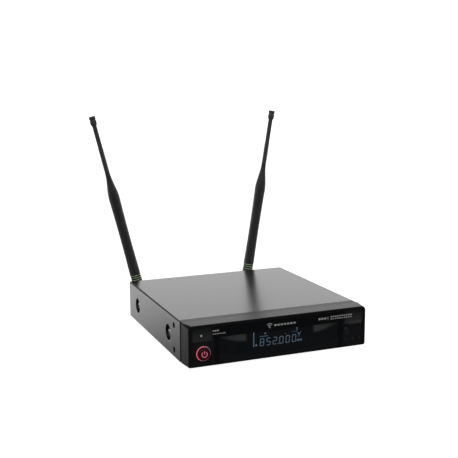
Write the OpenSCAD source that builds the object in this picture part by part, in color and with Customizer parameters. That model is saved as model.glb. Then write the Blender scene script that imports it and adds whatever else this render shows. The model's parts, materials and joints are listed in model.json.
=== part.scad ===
// Half-rack wireless microphone receiver with two folding whip antennas.
// Millimetres. X to the right as seen from the front, Y to the back, Z up.
// The origin is the centre of the metal case's underside.

/* [Case] */
// Width of the metal case
case_w = 212; // [208:1:216]
// Height of the metal case, without its feet
case_h = 44; // [43.5:0.5:46]
// Depth of the metal case, from the bezel seam to the rear edge
case_d = 196; // [194:1:204]
// Thickness of the cover's sheet steel
cover_t = 1; // [0.8:0.1:1]
// Thickness of the chassis and rear panel sheet steel
chassis_t = 1.2; // [1:0.1:1.2]
// Outer radius of the cover's two long bends
bend_r = 2; // [1.5:0.1:2.5]
// Height of the rubber feet
foot_h = 3; // [2:0.5:6]
// Diameter of the rubber feet
foot_d = 14; // [10:1:16]

/* [Cover sides] */
// Diameter of the round recesses that hold the cover screws
recess_d = 17.5; // [14:0.5:18]
// Depth of those recesses
recess_depth = 3.7; // [3.4:0.1:4.8]
// Height of the recess centres
recess_z = 21.3; // [20:0.1:23]
// Distance from the bezel seam to the front recess
recess_front = 40.5; // [38:0.5:46]
// Distance from the bezel seam to the rear recess
recess_rear = 160; // [150:1:164]
// Thread diameter of the rack-ear holes
ear_thread_d = 6; // [4:0.5:6]
// Distance between the two rack-ear holes of a side
ear_spacing = 27; // [24:0.5:28]
// Height of the middle of a rack-ear pair
ear_z = 21.4; // [20:0.1:23]
// Distance from the bezel seam to the rack-ear holes
ear_inset = 20; // [16:0.5:22]

/* [Bezel and front panel] */
// Depth of the bezel in front of the metal case
bezel_d = 23; // [23:0.5:26]
// Width of the groove between the bezel and the metal case
groove_w = 2.4; // [1:0.1:3]
// Depth of that groove in the sides
groove_d = 1.4; // [0.5:0.1:1.5]
// Narrowing of each bezel side towards the front
bezel_taper = 1.2; // [0:0.1:1.5]
// Radius of the bezel's upper front corners
bezel_corner_r = 5; // [3:0.5:6]
// Length of the bezel lip that laps over the top of the case
bezel_lip = 6; // [4:0.5:8]
// Width of the gloss front panel
panel_w = 200.2; // [199:0.1:201]
// Height of the front panel's lower edge
panel_z0 = 1.8; // [1.6:0.1:2]
// Height of the front panel's upper edge
panel_z1 = 41.2; // [41:0.1:41.4]
// Thickness of the front panel
panel_t = 2.4; // [2:0.1:2.4]
// Width of the display window
window_w = 142; // [136:1:142]
// Height of the window's straight upper edge
window_top = 29.6; // [28:0.1:31]
// Height of the window's lower corners
window_corner_z = 12.5; // [11:0.1:14]
// Height of the lowest point of the window's bowed lower edge
window_low_z = 4.2; // [3.8:0.1:6]

/* [Display] */
// Middle of the display, measured from the panel's centre
lcd_x = -1; // [-6:0.5:3]
// Width of the display glass
lcd_w = 70; // [60:1:76]
// Height of the display glass
lcd_h = 23; // [20:0.5:23]
// Height of the display glass's lower edge
lcd_z = 8.5; // [8:0.1:9]

/* [Buttons] */
// Place of the power button from the centre
power_x = -88.3; // [-89:0.1:-88]
// Height of the power button's centre
power_z = 14.1; // [13.5:0.1:15]
// Diameter of the power button's cap
power_d = 13.5; // [12:0.1:13.5]
// Outer diameter of the light ring round the power button
power_ring_d = 17; // [16.8:0.1:17.4]
// Travel of the power button
power_travel = 1.2; // [0.8:0.1:1.2]
// Diameter of the set button's cap
set_d = 6.4; // [5.6:0.1:6.6]
// Diameter of the three small buttons
small_d = 4.2; // [3.6:0.1:4.4]
// Travel of the set button and the three small buttons
small_travel = 0.8; // [0.5:0.1:0.8]

/* [Rear] */
// Height of the sockets on the rear panel
socket_z = 22; // [21.5:0.1:22.5]
// Place of the left antenna socket from the centre
antenna_left_x = -84.5; // [-87:0.5:-84]
// Place of the right antenna socket from the centre
antenna_right_x = 66.5; // [62:0.5:68]
// Bore diameter of the 6.35 mm jack socket
jack_d = 6.4; // [6.4:0.05:6.5]

/* [Antennas] */
// Lean of the left antenna away from upright, in degrees
lean_left = -13.9; // [-20:0.1:0]
// Lean of the right antenna away from upright, in degrees
lean_right = 9.4; // [0:0.1:20]
// Length of an antenna from its elbow pin to its tip
antenna_len = 235; // [215:1:260]
// Diameter of the thin mast
mast_d = 5.9; // [4:0.1:6.2]
// Diameter of the sleeve at its lower end and shoulder
sleeve_d = 13.9; // [13:0.1:14]
// Diameter of the sleeve's waist
waist_d = 12.8; // [11.5:0.1:13]
// Diameter of the cap on the antenna's tip
tip_d = 8.2; // [7.4:0.1:8.6]

/* [Hidden] */
$fn = 48;

// Colours
black_paint = "#2a2b2d";
black_plastic = "#1c1d1e";
gloss_black = "#0c0d0e";
bright_steel = "#c9ccd0";
brass_colour = "#c9a94f";
board_green = "#1f5a35";
red_light = "#ff3048";
band_green = "#2f7d32";

// Planes of the case
half_w = case_w / 2;
y_seam = -case_d / 2;
y_rear = case_d / 2;
y_rim = y_seam - bezel_d;
eps = 0.5;

// Cover, chassis and rear panel
cup_x = half_w - recess_depth - cover_t;
tab_t = chassis_t;
tab_w = 22;
tab_h = 34;
recess_ys = [y_seam + recess_front, y_seam + recess_rear];
ear_y = y_seam + ear_inset;
ear_zs = [ear_z - ear_spacing / 2, ear_z + ear_spacing / 2];
panel_gap = 0.2;
rear_out = y_rear - panel_gap;
rear_in = rear_out - chassis_t;
rear_foot = 12;
rear_foot_xs = [-75, 0, 75];
foot_inset = 16;
foot_x = half_w - 20;

// Screws: clearance hole, shank, head radius and head height
m3_hole_r = 1.65;
m3_r = 1.5;
m3_head_r = 2.8;
m3_head_h = 1.8;
m4_r = 2;
m4_head_r = 4.5;
m4_head_h = 2.4;
screw_fit = 0.02;

// Front assembly planes, from the rim backwards
panel_front = y_rim + 0.4;
panel_back = panel_front + panel_t;
ledge_back = panel_back + 2;
bezel_wall = 2.2;
bezel_post_x = 62;
bezel_post_zs = [5, 39];
board_t = 1.6;
board_front = y_rim + 10.4;
board_back = board_front + board_t;
panel_post_xs = [-73.8, 73.8];
panel_post_zs = [6, 36];

// Window outline: a rectangle cut by a large circle
window_sag = window_corner_z - window_low_z;
window_r = (pow(window_w / 2, 2) + pow(window_sag, 2)) / (2 * window_sag);

// Buttons on the front panel: x, z
set_at = [80.6, 19.9];
set_dish_r = 5.3;
set_dish_depth = 1.2;
sync_at = [80, 8.7];
down_at = [89.4, 8.7];
up_at = [97, 8.7];
led_at = [-90.4, 33.2];
switch_size = 6;
switch_h = 3.5;
switch_floor = 0.6;
power_switch_floor = 0.8;
over_travel = 0.5;
stem_r = 1.7;
running_gap = 0.08;

// Main board
main_z = chassis_t + 6;
main_top = main_z + board_t;
main_w = 192;
main_y0 = -70;
main_y1 = 94;
standoff_ys = [-62, 8, 78];
standoff_x = 90;

// Rear sockets
xlr_x = -8;
jack_x = 27;
dc_x = 90;
dc_z = main_top + 5.5;
level_x = -45;
xlr_r = 11.5;
xlr_cavity_r = 9.6;
xlr_depth = 15.5;
xlr_flange_t = 2;
xlr_pin_r = 1.2;
xlr_pin_turns = [30, 150, 270];
xlr_pin_circle = 6.35;
jack_bush_r = 5.6;
jack_body_w = 17;
dc_hole_r = 2.9;
dc_collar_r = 3.9;
pot_bush_r = 3.5;
shaft_r = 2.5;
rear_clearance = 0.2;
antenna_xs = [antenna_left_x, antenna_right_x];
socket_thread_r = 5.9;

// Antenna, along its own length from the elbow pin
pin_y = rear_out + 29.2;
barrel_end = rear_out + 11.4;
coupling_end = rear_out + 15.8;
lip_end = barrel_end + 1.6;
spigot_r = 4.5;
elbow_r = 6.8;
cheek_in = 3.6;
cheek_out = 6.6;
tongue_half = 3.3;
tongue_r = 6.5;
pin_r = 1.5;
collar_s = 9.5;
band_s = 16.8;
bead_pitch = 2.9;
bead_count = 3;
band_top = band_s + bead_pitch * bead_count;
band_core_r = 5.2;
band_gap = 0.03;
shoulder_s = antenna_len - 107;
taper_s = antenna_len - 72;
cap_s = antenna_len - 12;
core_r = 1.5;
tip_r = tip_d / 2;
ring_r = 7.1;

// ---- helpers ----

module box(x0, x1, y0, y1, z0, z1)
  translate([x0, y0, z0])
  cube([x1 - x0, y1 - y0, z1 - z0]);

// Extrudes an outline drawn in X and Z from y0 to y1
module along_y(y0, y1)
  translate([0, y1, 0])
  rotate([90, 0, 0])
  linear_extrude(y1 - y0)
  children();

module cyl_x(y, z, x0, x1, r)
  translate([x0, y, z])
  rotate([0, 90, 0])
  cylinder(h = x1 - x0, r = r);

module cyl_y(x, z, y0, y1, r)
  translate([x, y1, z])
  rotate([90, 0, 0])
  cylinder(h = y1 - y0, r = r);

module cyl_z(x, y, z0, z1, r)
  translate([x, y, z0])
  cylinder(h = z1 - z0, r = r);

// Rectangle from [x0, z0] to [x1, z1] with round corners, upper and lower
module round_rect(x0, x1, z0, z1, r_top, r_low) {
  translate([x0 + r_top, z0 + r_low])
    square([x1 - x0 - 2 * r_top, z1 - z0 - r_low]);
  translate([x0, z0 + r_low])
    square([x1 - x0, z1 - z0 - r_low - r_top]);
  translate([x0 + r_low, z0])
    square([x1 - x0 - 2 * r_low, z1 - z0 - r_top]);
  for (x = [x0 + r_top, x1 - r_top])
    translate([x, z1 - r_top])
      circle(r_top);
  for (x = [x0 + r_low, x1 - r_low])
    translate([x, z0 + r_low])
      circle(r_low);
}

module both_sides()
  for (side = [0, 1])
    mirror([side, 0, 0])
      children();

// Display window outline, drawn smaller by inset
module window_outline(inset)
  intersection() {
    translate([-window_w / 2 + inset, 0])
      square([window_w - 2 * inset, window_top - inset]);
    translate([0, window_low_z + window_r])
      circle(window_r - inset, $fn = 240);
  }

// Pan-head screw with its head up, the seat at z = 0
module pan_screw(r, length, head_r, head_h, slot) {
  difference() {
    union() {
      cylinder(h = head_h * 0.5, r = head_r);
      translate([0, 0, head_h * 0.5])
        cylinder(h = head_h * 0.5, r1 = head_r, r2 = head_r * 0.72);
    }
    for (turn = [0, 90])
      rotate([0, 0, turn])
        translate([-head_r * 0.55, -slot / 2, head_h * 0.45])
          cube([head_r * 1.1, slot, head_h]);
  }
  translate([0, 0, -length])
    cylinder(h = length, r = r);
}

// ---- case ----

module cover_outline()
  difference() {
    union() {
      translate([-half_w, 0])
        square([case_w, case_h - bend_r]);
      translate([-half_w + bend_r, 0])
        square([case_w - 2 * bend_r, case_h]);
      for (x = [-half_w + bend_r, half_w - bend_r])
        translate([x, case_h - bend_r])
          circle(bend_r);
    }
    translate([-half_w + cover_t, -eps])
      square([case_w - 2 * cover_t, case_h - bend_r + eps]);
    translate([-half_w + bend_r, -eps])
      square([case_w - 2 * bend_r, case_h - cover_t + eps]);
    for (x = [-half_w + bend_r, half_w - bend_r])
      translate([x, case_h - bend_r])
        circle(bend_r - cover_t);
  }

module top_cover()
  color(black_paint)
  difference() {
    union() {
      along_y(y_seam, y_rear)
        cover_outline();
      both_sides()
        for (y = recess_ys)
          cyl_x(y, recess_z, -half_w + cover_t / 2, -cup_x, recess_d / 2 + cover_t);
    }
    both_sides() {
      for (y = recess_ys) {
        cyl_x(y, recess_z, -half_w - eps, -cup_x - cover_t, recess_d / 2);
        cyl_x(y, recess_z, -half_w, -cup_x + eps, m4_r + 0.2);
      }
      for (z = ear_zs)
        cyl_x(ear_y, z, -half_w - eps, -half_w + cover_t + eps, ear_thread_d / 2);
    }
    box(-half_w + bend_r, half_w - bend_r, y_seam - eps, y_seam + bezel_lip,
        case_h - cover_t - eps, case_h + eps);
  }

module ear_nuts()
  color(bright_steel)
  both_sides()
    for (z = ear_zs)
      difference() {
        cyl_x(ear_y, z, -half_w + cover_t, -half_w + cover_t + 3.5, ear_thread_d / 2 + 2);
        cyl_x(ear_y, z, -half_w, -half_w + cover_t + 4, ear_thread_d / 2);
      }

module chassis_base()
  color(black_paint)
  difference() {
    union() {
      box(-half_w + cover_t + panel_gap, half_w - cover_t - panel_gap,
          y_seam, rear_out, 0, chassis_t);
      box(-half_w + 3, half_w - 3, y_seam, y_seam + chassis_t, 0, case_h - cover_t - 0.4);
      both_sides()
        for (y = recess_ys)
          box(-cup_x, -cup_x + tab_t, y - tab_w / 2, y + tab_w / 2, 0, tab_h);
    }
    box(-half_w + 14, half_w - 14, y_seam - eps, y_seam + chassis_t + eps, 10, 34);
    both_sides() {
      for (z = bezel_post_zs)
        cyl_y(bezel_post_x, z, y_seam - eps, y_seam + chassis_t + eps, m3_hole_r);
      for (y = recess_ys)
        cyl_x(y, recess_z, -cup_x - eps, -cup_x + tab_t + eps, m4_r + screw_fit);
    }
    for (x = rear_foot_xs)
      cyl_z(x, rear_in - rear_foot / 2, -eps, chassis_t + eps, m3_hole_r);
  }

module rear_panel()
  color(black_paint)
  difference() {
    union() {
      box(-half_w + cover_t + 2 * panel_gap, half_w - cover_t - 2 * panel_gap,
          rear_in, rear_out, chassis_t, case_h - cover_t - 3 * panel_gap);
      box(-half_w + 10, half_w - 10, rear_in - rear_foot, rear_in, chassis_t, 2 * chassis_t);
    }
    for (x = antenna_xs)
      cyl_y(x, socket_z, rear_in - eps, rear_out + eps, socket_thread_r + 0.1);
    cyl_y(xlr_x, socket_z, rear_in - eps, rear_out + eps, xlr_r + rear_clearance);
    at_xlr_screws()
      cyl_y(0, 0, rear_in - eps, rear_out + eps, m3_r + screw_fit);
    cyl_y(jack_x, socket_z, rear_in - eps, rear_out + eps, jack_bush_r + rear_clearance);
    cyl_y(dc_x, dc_z, rear_in - eps, rear_out + eps, dc_collar_r + 0.1);
    cyl_y(level_x, socket_z, rear_in - eps, rear_out + eps, pot_bush_r + rear_clearance);
    for (x = rear_foot_xs)
      cyl_z(x, rear_in - rear_foot / 2, 0, 3 * chassis_t, m3_r + screw_fit);
  }

module feet()
  color("#151515")
  for (x = [-foot_x, foot_x])
    for (y = [y_seam + foot_inset, y_rear - foot_inset])
      translate([x, y, -foot_h])
        cylinder(h = foot_h, r1 = foot_d / 2 - 0.6, r2 = foot_d / 2);

module side_screws()
  color(bright_steel)
  both_sides()
    for (y = recess_ys)
      translate([-cup_x - cover_t, y, recess_z])
        rotate([0, -90, 0])
          rotate([0, 0, 20])
            pan_screw(m4_r, 8, m4_head_r, m4_head_h, 1.2);

// Four screws hold the bezel to the chassis, three hold the rear panel's foot
module chassis_screws()
  color(bright_steel) {
    for (x = [-bezel_post_x, bezel_post_x])
      for (z = bezel_post_zs)
        translate([x, y_seam + chassis_t, z])
          rotate([-90, 0, 0])
            pan_screw(m3_r, 8, m3_head_r - 0.3, m3_head_h, 0.8);
    for (x = rear_foot_xs)
      translate([x, rear_in - rear_foot / 2, 0])
        rotate([180, 0, 0])
          pan_screw(m3_r, 5, m3_head_r, m3_head_h, 0.8);
  }

// ---- front ----

// Thin slice of the bezel's outside at depth y
module bezel_slice(y, half, z0, z1, r_top, r_low)
  along_y(y, y + 0.1)
    round_rect(-half, half, z0, z1, r_top, r_low);

module front_bezel()
  color(black_plastic)
  difference() {
    union() {
      hull($fn = 32) {
        bezel_slice(y_rim, half_w - bezel_taper - 0.7, 0.7, case_h - 0.1,
                    bezel_corner_r - 0.7, 1.4);
        bezel_slice(y_rim + 0.7, half_w - bezel_taper, 0, case_h + 0.6, bezel_corner_r, 2);
        bezel_slice(y_seam - groove_w, half_w, 0, case_h, 0.6, 0.6);
      }
      box(-half_w + groove_d, half_w - groove_d, y_seam - groove_w, y_seam, 0.6, case_h);
      box(-half_w + bend_r + 0.2, half_w - bend_r - 0.2, y_seam - groove_w,
          y_seam + bezel_lip - 0.1, case_h - cover_t, case_h);
    }
    along_y(y_rim - eps, panel_back)
      round_rect(-panel_w / 2 - 0.1, panel_w / 2 + 0.1, panel_z0 - 0.1, panel_z1 + 0.1, 2.9, 2.9);
    box(-panel_w / 2 + 0.6, panel_w / 2 - 0.6, y_rim, ledge_back + eps,
        panel_z0 + 1.1, panel_z1 - 1.1);
    difference() {
      box(-half_w + bezel_taper + bezel_wall, half_w - bezel_taper - bezel_wall,
          ledge_back, y_seam + eps, bezel_wall, case_h - bezel_wall);
      for (x = [-bezel_post_x, bezel_post_x])
        for (z = bezel_post_zs)
          cyl_y(x, z, ledge_back - eps, y_seam, 3.2);
    }
    for (x = [-bezel_post_x, bezel_post_x])
      for (z = bezel_post_zs)
        cyl_y(x, z, y_seam - 9, y_seam + eps, m3_r + screw_fit);
  }

module front_panel()
  color(gloss_black)
  difference() {
    union() {
      along_y(panel_front, panel_back)
        round_rect(-panel_w / 2, panel_w / 2, panel_z0, panel_z1, 2.8, 2.8);
      for (x = panel_post_xs)
        for (z = panel_post_zs)
          cyl_y(x, z, panel_back - 0.1, board_front, 2.4);
      difference() {
        cyl_y(power_x, power_z, panel_front - 0.6, panel_front + 0.1, power_ring_d / 2 + 1.6);
        cyl_y(power_x, power_z, panel_front - 1, panel_front + 1, power_ring_d / 2 + 0.1);
      }
    }
    along_y(panel_front - eps, panel_back + eps)
      window_outline(0);
    cyl_y(power_x, power_z, panel_front - 1, panel_back + 1, power_ring_d / 2 + 0.1);
    cyl_y(set_at[0], set_at[1], panel_front - 1, panel_back + 1, set_d / 2 + running_gap);
    translate([set_at[0], panel_front + set_dish_depth, set_at[1]])
      rotate([90, 0, 0])
        cylinder(h = set_dish_depth, r1 = set_d / 2 + 0.2, r2 = set_dish_r);
    cyl_y(set_at[0], set_at[1], panel_front - 1, panel_front + 0.01, set_dish_r);
    for (at = [sync_at, down_at, up_at])
      cyl_y(at[0], at[1], panel_front - 1, panel_back + 1, small_d / 2 + running_gap);
    cyl_y(led_at[0], led_at[1], panel_front - 1, panel_back + 1, 1.3);
    for (x = panel_post_xs)
      for (z = panel_post_zs)
        cyl_y(x, z, board_front - 6, board_front + eps, m3_r - 0.28);
  }

module display_lens()
  color([0.10, 0.12, 0.15, 0.5])
  union() {
    along_y(panel_front + 0.2, panel_back + 0.1)
      window_outline(0.15);
    along_y(panel_back, panel_back + 0.8)
      window_outline(-1);
  }

lcd_x0 = lcd_x - lcd_w / 2;
lcd_x1 = lcd_x + lcd_w / 2;
frame_front = panel_back + 0.85;
glass_front = frame_front + 0.5;
glass_back = glass_front + 2.4;

module lcd_frame()
  color("#3a3d40")
  difference() {
    box(lcd_x0 - 3, lcd_x1 + 3, frame_front, board_front, lcd_z - 3, lcd_z + lcd_h + 3);
    box(lcd_x0 - 0.1, lcd_x1 + 0.1, glass_front, board_front + eps,
        lcd_z - 0.1, lcd_z + lcd_h + 0.1);
    box(lcd_x0 + 1.5, lcd_x1 - 1.5, frame_front - eps, glass_front + eps,
        lcd_z + 1.5, lcd_z + lcd_h - 1.5);
  }

module lcd_glass()
  color([0.12, 0.16, 0.24, 0.8])
  box(lcd_x0, lcd_x1, glass_front, glass_back, lcd_z, lcd_z + lcd_h);

module lcd_backlight()
  color("#dfe8f4")
  box(lcd_x0, lcd_x1, glass_back + 0.1, board_front, lcd_z, lcd_z + lcd_h);

ring_front = panel_front - 0.9;
ring_back = panel_back + 1.1;

module power_light_ring()
  color(red_light)
  difference() {
    union() {
      cyl_y(power_x, power_z, ring_front, ring_back, power_ring_d / 2);
      cyl_y(power_x, power_z, panel_back, ring_back, power_ring_d / 2 + 1.2);
    }
    cyl_y(power_x, power_z, ring_front - eps, ring_back + eps, power_d / 2 + 0.1);
  }

cap_front = ring_front - 2.8;
stop_y = ring_back + 0.2;
stop_back = stop_y + 0.9;

module power_button()
  color(black_plastic)
  union() {
    cyl_y(power_x, power_z, cap_front + 0.6, ring_front + 1.6, power_d / 2);
    translate([power_x, cap_front + 0.6, power_z])
      rotate([90, 0, 0])
        cylinder(h = 0.6, r1 = power_d / 2, r2 = power_d / 2 - 0.6);
    cyl_y(power_x, power_z, ring_front + 1.5, stop_y + 0.1, 4);
    cyl_y(power_x, power_z, stop_y, stop_back, 8);
  }

power_stem_r = 1.95;
power_stem_end = board_front - power_switch_floor - power_travel - over_travel;

module power_plunger()
  color("#d8d4c8")
  cyl_y(power_x, power_z, stop_back, power_stem_end, power_stem_r);

module power_switch()
  color("#222222")
  difference() {
    box(power_x - 6, power_x + 6, board_front - 3.7, board_front, power_z - 6, power_z + 6);
    cyl_y(power_x, power_z, board_front - 4, board_front - power_switch_floor,
          power_stem_r + running_gap);
  }

set_back = panel_back + 1.1;
stem_end = board_front - switch_floor - small_travel - over_travel;

module set_button()
  color(black_plastic)
  union() {
    cyl_y(set_at[0], set_at[1], panel_front - 0.2, panel_back + 0.4, set_d / 2);
    intersection() {
      cyl_y(set_at[0], set_at[1], panel_front - 1, panel_front, set_d / 2);
      translate([set_at[0], panel_front - 0.8 + set_d, set_at[1]])
        sphere(set_d, $fn = 96);
    }
    cyl_y(set_at[0], set_at[1], panel_back + 0.3, set_back, 4.4);
  }

module set_plunger()
  color("#d8d4c8")
  cyl_y(set_at[0], set_at[1], set_back, stem_end, stem_r);

// Switch stem that is its own button, reaching through the front panel
module stem_button(at)
  color(black_plastic)
  union() {
    cyl_y(at[0], at[1], panel_front - 0.6, panel_back + 2.2, small_d / 2);
    cyl_y(at[0], at[1], panel_back + 2, stem_end, stem_r);
    translate([at[0], panel_front - 0.6, at[1]])
      rotate([90, 0, 0])
        cylinder(h = 0.3, r1 = small_d / 2, r2 = small_d / 2 - 0.35);
  }

module sync_button() stem_button(sync_at);
module down_button() stem_button(down_at);
module up_button() stem_button(up_at);

module button_switches()
  color("#222222")
  for (at = [set_at, sync_at, down_at, up_at])
    difference() {
      box(at[0] - switch_size / 2, at[0] + switch_size / 2, board_front - switch_h,
          board_front, at[1] - switch_size / 2, at[1] + switch_size / 2);
      cyl_y(at[0], at[1], board_front - switch_h - eps, board_front - switch_floor,
            stem_r + running_gap);
    }

module indicator_led()
  color("#f4f6f8")
  union() {
    cyl_y(led_at[0], led_at[1], panel_front + 0.3, board_front - 3, 1.2);
    translate([led_at[0], panel_front + 0.3, led_at[1]])
      sphere(1.2);
    cyl_y(led_at[0], led_at[1], board_front - 3.5, board_front, 1.6);
  }

module front_pcb()
  color(board_green)
  difference() {
    box(-100.5, 100.5, board_front, board_back, 3.2, 40.6);
    for (x = [-bezel_post_x, bezel_post_x])
      for (z = bezel_post_zs)
        cyl_y(x, z, board_front - eps, board_back + eps, 3.6);
    for (x = panel_post_xs)
      for (z = panel_post_zs)
        cyl_y(x, z, board_front - eps, board_back + eps, m3_r - 0.2);
  }

// ---- boards ----

module main_pcb()
  color(board_green)
  difference() {
    box(-main_w / 2, main_w / 2, main_y0, main_y1, main_z, main_top);
    for (x = [-standoff_x, standoff_x])
      for (y = standoff_ys)
        cyl_z(x, y, main_z - eps, main_top + eps, m3_hole_r);
  }

module pcb_standoffs()
  color(brass_colour)
  for (x = [-standoff_x, standoff_x])
    for (y = standoff_ys)
      difference() {
        translate([x, y, chassis_t])
          cylinder(h = main_z - chassis_t, r = 3, $fn = 6);
        cyl_z(x, y, chassis_t + 1, main_z + eps, m3_r + screw_fit);
      }

// Six screws hold the main board, four hold the front board
module pcb_screws()
  color(bright_steel) {
    for (x = [-standoff_x, standoff_x])
      for (y = standoff_ys)
        translate([x, y, main_top])
          pan_screw(m3_r, 6, m3_head_r, m3_head_h, 0.8);
    for (x = panel_post_xs)
      for (z = panel_post_zs)
        translate([x, board_back, z])
          rotate([-90, 0, 0])
            pan_screw(m3_r - 0.3, 6, m3_head_r - 0.5, m3_head_h, 0.7);
  }

shield_w = 50;
shield_d = 50;
shield_h = 10;
shield_t = 0.4;
shield_y = 6;

module tuner_shields()
  color(bright_steel)
  for (x = [-59, 55])
    difference() {
      box(x - shield_w / 2, x + shield_w / 2, shield_y, shield_y + shield_d,
          main_top, main_top + shield_h);
      box(x - shield_w / 2 + shield_t, x + shield_w / 2 - shield_t, shield_y + shield_t,
          shield_y + shield_d - shield_t, main_top - eps, main_top + shield_h - shield_t);
    }

// Chips on the main board: x, y, width, depth, height
chips = [
  [0, 30, 14, 14, 1.6],
  [0, 2, 12, 12, 1.6],
  [-20, -26, 10, 6, 1.8],
  [14, -30, 10, 6, 1.8],
  [-59, 31, 9, 9, 1.2],
  [55, 31, 9, 9, 1.2]
];

module main_ics()
  color("#1a1a1a")
  for (chip = chips)
    translate([chip[0] - chip[2] / 2, chip[1] - chip[3] / 2, main_top])
      cube([chip[2], chip[3], chip[4]]);

module electrolytic_caps()
  color("#26305c")
  for (i = [0 : 5])
    cyl_z(42 + 12 * (i % 3), -22 - 14 * floor(i / 3), main_top, main_top + 12, 4);

sink_x = -70;
sink_y = -34;
fin_count = 6;

module heatsink()
  color("#8a8d90")
  union() {
    box(sink_x - 13, sink_x + 13, sink_y, sink_y + 3, main_top, main_top + 22);
    for (i = [0 : fin_count - 1])
      box(sink_x - 13 + i * 4.9, sink_x - 11.5 + i * 4.9, sink_y + 2.9, sink_y + 12,
          main_top, main_top + 22);
  }

module voltage_regulator()
  color("#1a1a1a")
  union() {
    box(sink_x - 5, sink_x + 5, sink_y - 4.5, sink_y - 1.3, main_top + 5, main_top + 14);
    box(sink_x - 5, sink_x + 5, sink_y - 1.3, sink_y, main_top + 5, main_top + 20);
    for (x = [-2.54, 0, 2.54])
      box(sink_x + x - 0.4, sink_x + x + 0.4, sink_y - 3, sink_y - 2.5,
          main_top, main_top + 5.1);
  }

ribbon_x = -24;
ribbon_w = 20;
ribbon_t = 0.6;
ribbon_z = 24;
ribbon_bend = 8;
ribbon_end_y = -60;

module flat_cable_connectors()
  color("#e8e4d8") {
    box(ribbon_x - 13, ribbon_x + 13, board_back, board_back + 5,
        ribbon_z - 3, ribbon_z + 3);
    box(ribbon_x - 13, ribbon_x + 13, ribbon_end_y - 3, ribbon_end_y + 3,
        main_top, main_top + 6);
  }

// Ribbon from the front board, through the chassis, down to the main board
module flat_cable()
  color("#b9bcc0")
  union() {
    box(ribbon_x - ribbon_w / 2, ribbon_x + ribbon_w / 2, board_back + 5,
        ribbon_end_y - ribbon_bend, ribbon_z - ribbon_t / 2, ribbon_z + ribbon_t / 2);
    translate([ribbon_x - ribbon_w / 2, ribbon_end_y - ribbon_bend, ribbon_z - ribbon_bend])
      rotate([90, 0, 90])
        linear_extrude(ribbon_w)
          intersection() {
            difference() {
              circle(ribbon_bend + ribbon_t / 2);
              circle(ribbon_bend - ribbon_t / 2);
            }
            square(ribbon_bend * 2);
          }
    box(ribbon_x - ribbon_w / 2, ribbon_x + ribbon_w / 2, ribbon_end_y - ribbon_t / 2,
        ribbon_end_y + ribbon_t / 2, main_top + 6, ribbon_z - ribbon_bend);
  }

coax_r = 1.1;
coax_bend = 8;
coax_start = rear_out - 14;

// One lead from each antenna socket: back, a quarter bend, down to the board
module coax_leads()
  color("#3b2a1e")
  for (x = antenna_xs)
    union() {
      cyl_y(x, socket_z, coax_start - 4, coax_start, coax_r);
      translate([x, coax_start - 4, socket_z - coax_bend])
        rotate([90, 0, -90])
          rotate_extrude(angle = 90)
            translate([coax_bend, 0])
              circle(coax_r);
      cyl_z(x, coax_start - 4 - coax_bend, main_top, socket_z - coax_bend, coax_r);
      cyl_z(x, coax_start - 4 - coax_bend, main_top, main_top + 2.6, 1.9);
    }

// ---- rear sockets ----

module antenna_sockets()
  color(bright_steel)
  for (x = antenna_xs)
    difference() {
      union() {
        cyl_y(x, socket_z, rear_out, barrel_end, 4.8);
        cyl_y(x, socket_z, rear_out, rear_out + 1.6, 7.6);
        cyl_y(x, socket_z, rear_out - 10, rear_out + 0.1, socket_thread_r);
        cyl_y(x, socket_z, coax_start, rear_out - 9.9, 2.2);
      }
      cyl_y(x, socket_z, barrel_end - 8, barrel_end + eps, 2.4);
    }

module antenna_socket_nuts()
  color(bright_steel)
  for (x = antenna_xs)
    difference() {
      translate([x, rear_in, socket_z])
        rotate([90, 0, 0])
          cylinder(h = 3.6, r = 8.6, $fn = 6);
      cyl_y(x, socket_z, rear_in - 4, rear_in + eps, socket_thread_r + screw_fit);
    }

module antenna_couplings()
  color(bright_steel)
  for (x = antenna_xs)
    difference() {
      union() {
        cyl_y(x, socket_z, rear_out + 2, rear_out + 11, 7.2);
        cyl_y(x, socket_z, rear_out + 10.9, coupling_end, 6.4);
      }
      cyl_y(x, socket_z, rear_out, lip_end, 5);
      cyl_y(x, socket_z, barrel_end, coupling_end + eps, spigot_r + running_gap);
    }

// The XLR flange's two screws sit in opposite corners
module at_xlr_screws()
  for (side = [-1, 1])
    translate([xlr_x + side * 9.5, 0, socket_z - side * 12])
      children();

module at_xlr_pins()
  for (turn = xlr_pin_turns)
    translate([xlr_x + xlr_pin_circle * cos(turn), 0, socket_z + xlr_pin_circle * sin(turn)])
      children();

module xlr_socket()
  color("#4a4c50")
  difference() {
    union() {
      along_y(rear_out, rear_out + xlr_flange_t)
        round_rect(xlr_x - 13, xlr_x + 13, socket_z - 15.5, socket_z + 15.5, 2.5, 2.5);
      cyl_y(xlr_x, socket_z, rear_in - 20, rear_out + 0.1, xlr_r);
      box(xlr_x - 10, xlr_x + 10, rear_in - 20, rear_in - 2.4, main_top, socket_z);
    }
    cyl_y(xlr_x, socket_z, rear_out + xlr_flange_t - xlr_depth, rear_out + 3, xlr_cavity_r);
    at_xlr_pins()
      cyl_y(0, 0, rear_in - 18, rear_out, xlr_pin_r);
    at_xlr_screws()
      cyl_y(0, 0, rear_out - eps, rear_out + 3, m3_r + 0.1);
  }

module xlr_pins()
  color(bright_steel)
  at_xlr_pins()
    cyl_y(0, 0, rear_in - 18, rear_out, xlr_pin_r);

module xlr_screws()
  color("#222222")
  at_xlr_screws()
    translate([0, rear_out + xlr_flange_t, 0])
      rotate([-90, 0, 0])
        pan_screw(m3_r, 5, m3_head_r - 0.1, m3_head_h - 0.2, 0.8);

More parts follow.
